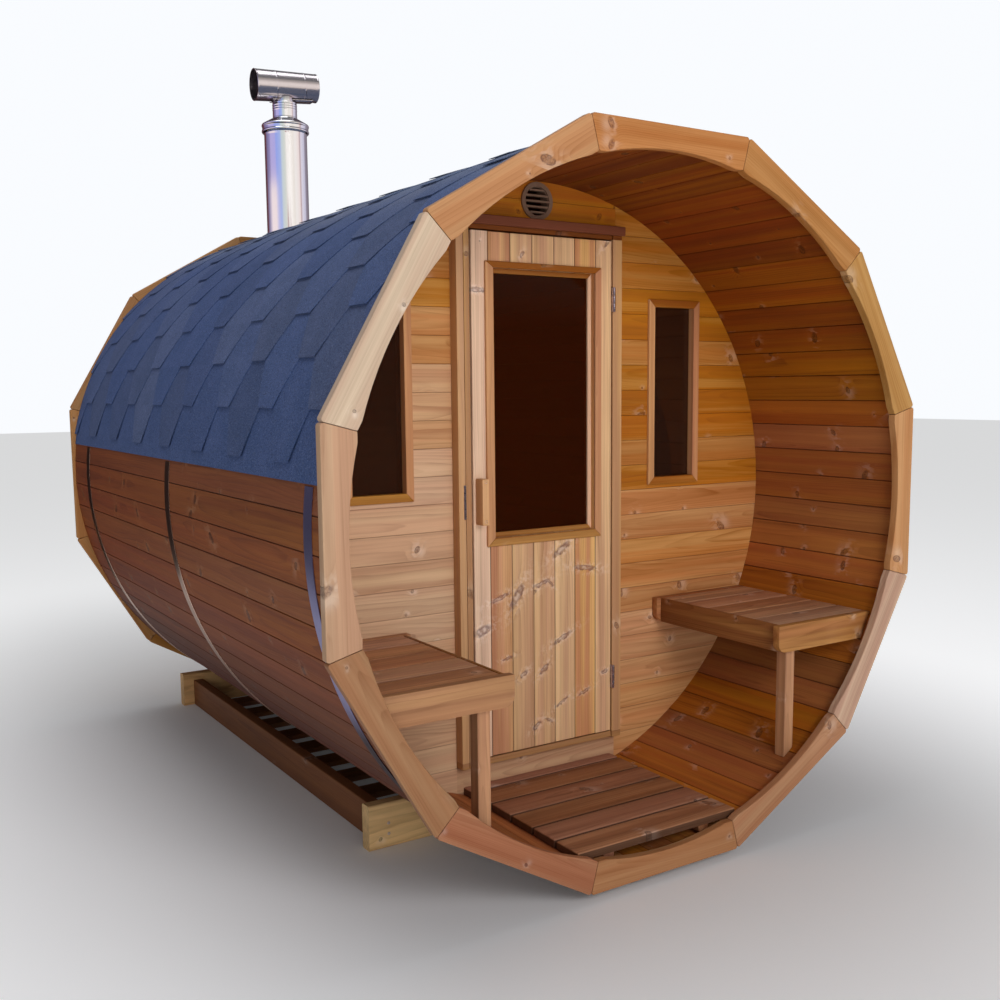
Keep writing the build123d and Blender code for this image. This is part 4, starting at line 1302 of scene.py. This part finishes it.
    # felt dressed up round the chimney
    bm = bmesh.new()
    rings_ = []
    n = 64
    for r, h in ((93.0, 10.0), (95.0, 9.6), (98.5, 7.4), (104.0, 5.6), (112.0, 4.9), (112.0, 0.0)):
        row = []
        for i in range(n):
            t = 2 * math.pi * i / n
            x, y = 1000 * CX + r * math.cos(t), 1000 * CY + r * math.sin(t)
            z = math.sqrt((R0 + 3.0) ** 2 - x * x) + h
            row.append(bm.verts.new(P(x, y, z)))
        rings_.append(row)
    for a, b in zip(rings_[:-1], rings_[1:]):
        for i in range(n):
            bm.faces.new((a[i], a[(i + 1) % n], b[(i + 1) % n], b[i]))
    bmesh.ops.recalc_face_normals(bm, faces=bm.faces)
    pc.add(bm, along=Y, across=X, smooth=True, free=True)
    pc.make(M["felt"], "cabin", "shingle_felt", "roof_shingles", sharp=28)


def chimney():
    c = P(1000 * CX, 1000 * CY, 0)
    pc = Piece("flue_pipe")
    prof = [(58, 978), (91, 978), (91, 990), (91, 1454), (91, 1461), (91.8, 1464), (91.8, 1467), (58, 1467)]
    pc.add(lathe(prof, c, Z, 160), origin=c, along=Z, across=X, smooth=True, free=True)
    # lapped seam down the back of the pipe
    t = math.radians(60)
    d = Vector((math.cos(t), math.sin(t), 0))
    tg = Vector((-math.sin(t), math.cos(t), 0))
    pts = [c + d * 0.0906 - tg * 0.006, c + d * 0.0920 - tg * 0.0052, c + d * 0.0922 + tg * 0.0052, c + d * 0.0910 + tg * 0.006]
    pts = [q + Z * 1.06 for q in pts]
    pc.add(solid(pts, Z * 0.40), along=Z, across=tg, smooth=False, free=True)
    pc.make(M["steel"], "cabin", "chimney_steel", "chimney_pipe", sharp=35)
    pc = Piece("flue_cone")
    prof = [(92, 1467), (98.6, 1471), (100.4, 1473.5), (101.0, 1476.5), (100.6, 1479.5), (99.2, 1481.5), (98.6, 1484), (98.6, 1485), (98.6, 1493), (98.6, 1494),
            (99.4, 1496.5), (100.8, 1498.5), (101.0, 1501.5), (100.2, 1504.5), (98.4, 1507), (96, 1508.4), (84, 1515.5), (70, 1523.5), (58.5, 1529.9), (57, 1530.6), (53.4, 1532.6),
            (53, 1533), (49, 1533), (49, 1467)]
    pc.add(lathe(prof, c, Z, 160), origin=c, along=Z, across=X, smooth=True, free=True)
    pc.make(M["steel"], "cabin", "chimney_steel", "chimney_cone", sharp=35)

    # cowl axis and its taper
    turn, lean = math.radians(-4.5), math.radians(3.0)
    ax = Vector((math.cos(turn) * math.cos(lean), math.sin(turn) * math.cos(lean), math.sin(lean)))
    cc = P(1000 * CX + 4, 1000 * CY, 1669)
    side = ax.cross(Z).normalized()
    upv = side.cross(ax).normalized()
    hl = 137.0

    def rad(h):
        return 65 + (59 - 65) * (h + hl) / (2 * hl)

    # ribbed neck, its top cut to sit round the cowl
    pc = Piece("flue_neck")
    bm = bmesh.new()
    prof = [(52.6, 1533.0), (52.6, 1536.0), (51.8, 1538.0), (51.8, 1540.0), (51.8, 1562.0)]
    for k in range(5):
        z = 1568 + 9.6 * k
        prof += [(51.8, z - 3.4), (52.7, z - 1.2), (52.7, z + 1.2), (51.8, z + 3.4)]
    n = 128
    cols = []
    for i in range(n):
        t = 2 * math.pi * i / n
        dr = Vector((math.cos(t), math.sin(t), 0))

        def top(r):
            lo, hi = 1560.0, 1668.0
            for _ in range(30):
                m = (lo + hi) / 2
                q = c + dr * (r / 1000.0) + Z * (m / 1000.0) - cc
                h = q.dot(ax) * 1000
                if (q - ax * (h / 1000)).length * 1000 > rad(h) + 0.15:
                    lo = m
                else:
                    hi = m
            return lo
        zb = min(1599.0, top(52.0))
        outer = [(r, z) for r, z in prof if z < zb - 4.0]
        while len(outer) < len(prof):
            outer.append((51.8, zb - 4.0 + 2.0 * (len(outer) - len(prof) + 8) / 8))
        zc, zi = top(39.5), top(37.0)
        zs = min(zb + 1.2, zc - 2.0)
        outer += [(51.8, zb - 1.6), (51.0, zb - 0.4), (41.5, zs - 0.2), (39.8, zs + 0.6), (39.5, zc - 0.6), (39.2, zc), (37.3, zi), (37.0, zi - 1.0), (37.0, 1533.0)]
        cols.append([bm.verts.new(c + dr * (r / 1000.0) + Z * (z / 1000.0)) for r, z in outer])
    m = len(cols[0])
    for i in range(n):
        a, b = cols[i], cols[(i + 1) % n]
        for j in range(m):
            k = (j + 1) % m
            bm.faces.new((a[j], b[j], b[k], a[k]))
    bmesh.ops.recalc_face_normals(bm, faces=bm.faces)
    pc.add(bm, origin=c, along=Z, across=X, smooth=True, free=True)
    pc.make(M["steel"], "cabin", "chimney_steel", "chimney_neck", sharp=35)

    # tapered cowl lying across the neck
    pc = Piece("flue_cowl")
    outer = []
    for h in (-137, -136, -134, -131, -129, -54, -52, -50.4, -49, -47.4, -45, 71, 73, 74.6, 76, 77.6, 80, 129, 131, 134, 136, 137):
        rr = rad(h)
        if h in (-136, -134, 134, 136):
            rr += 0.9
        if h in (-50.4, -49, 74.6, 76):
            rr += 0.8
        outer.append((rr, h))
    inner = [(rad(h) - 2.5, h) for h in (137, 90, 45, 0, -45, -90, -137)]
    bm = lathe(outer + inner, cc, ax, 144)
    pc.add(bm, origin=cc, along=ax, across=upv, smooth=True, free=True)
    # saddle plate under the cowl, its ends standing clear each side of the neck
    bm = bmesh.new()
    n = 10
    rows = []
    for i in range(n + 1):
        h = -66 + (112 + 66) * i / n
        row = []
        for wv, dz in ((-30, 7.5), (-18, 2.2), (0, 0.0), (18, 2.2), (30, 7.5)):
            row.append(cc + ax * (h / 1000.0) + side * (wv / 1000.0) - upv * ((rad(h) + 3.6 - dz) / 1000.0) )
        rows.append(row)
    lo = [[bm.verts.new(q - upv * 0.0016) for q in row] for row in rows]
    hi = [[bm.verts.new(q) for q in row] for row in rows]
    for i in range(n):
        for j in range(4):
            bm.faces.new((hi[i][j], hi[i + 1][j], hi[i + 1][j + 1], hi[i][j + 1]))
            bm.faces.new((lo[i][j], lo[i][j + 1], lo[i + 1][j + 1], lo[i + 1][j]))
        for j in (0, 4):
            bm.faces.new((hi[i][j], lo[i][j], lo[i + 1][j], hi[i + 1][j]))
    for i in (0, n):
        for j in range(4):
            bm.faces.new((hi[i][j], hi[i][j + 1], lo[i][j + 1], lo[i][j]))
    bmesh.ops.recalc_face_normals(bm, faces=bm.faces)
    pc.add(bm, along=ax, across=side, smooth=True, free=True)
    # rivets of the two ring seams
    for h in (-50, 75):
        for deg in (20, 62, 112, 180, 248, 300, 340):
            q = math.radians(deg)
            d = side * math.sin(q) + upv * math.cos(q)
            bm = lathe([(0, 1.8), (1.8, 1.5), (2.8, 0.6), (3.0, 0.0), (3.0, -1.0), (0, -1.0)], cc + ax * (h / 1000.0) + d * (rad(h) / 1000.0), d, 14)
            pc.add(bm, along=d, across=ax, smooth=True, mat=1, free=True)
    pc.make([M["cowl"], M["steel"]], "cabin", "chimney_steel", "chimney_cowl", sharp=35)


make_camera()
studio()
materials()
staves()
rings()
walls()
doorway()
hinges()
floors()
benches()
ground_frame()
bands()
shingles()
chimney()

sc = bpy.context.scene
sc.view_settings.view_transform = "Standard"
sc.view_settings.look = "None"
sc.view_settings.exposure = 0.0
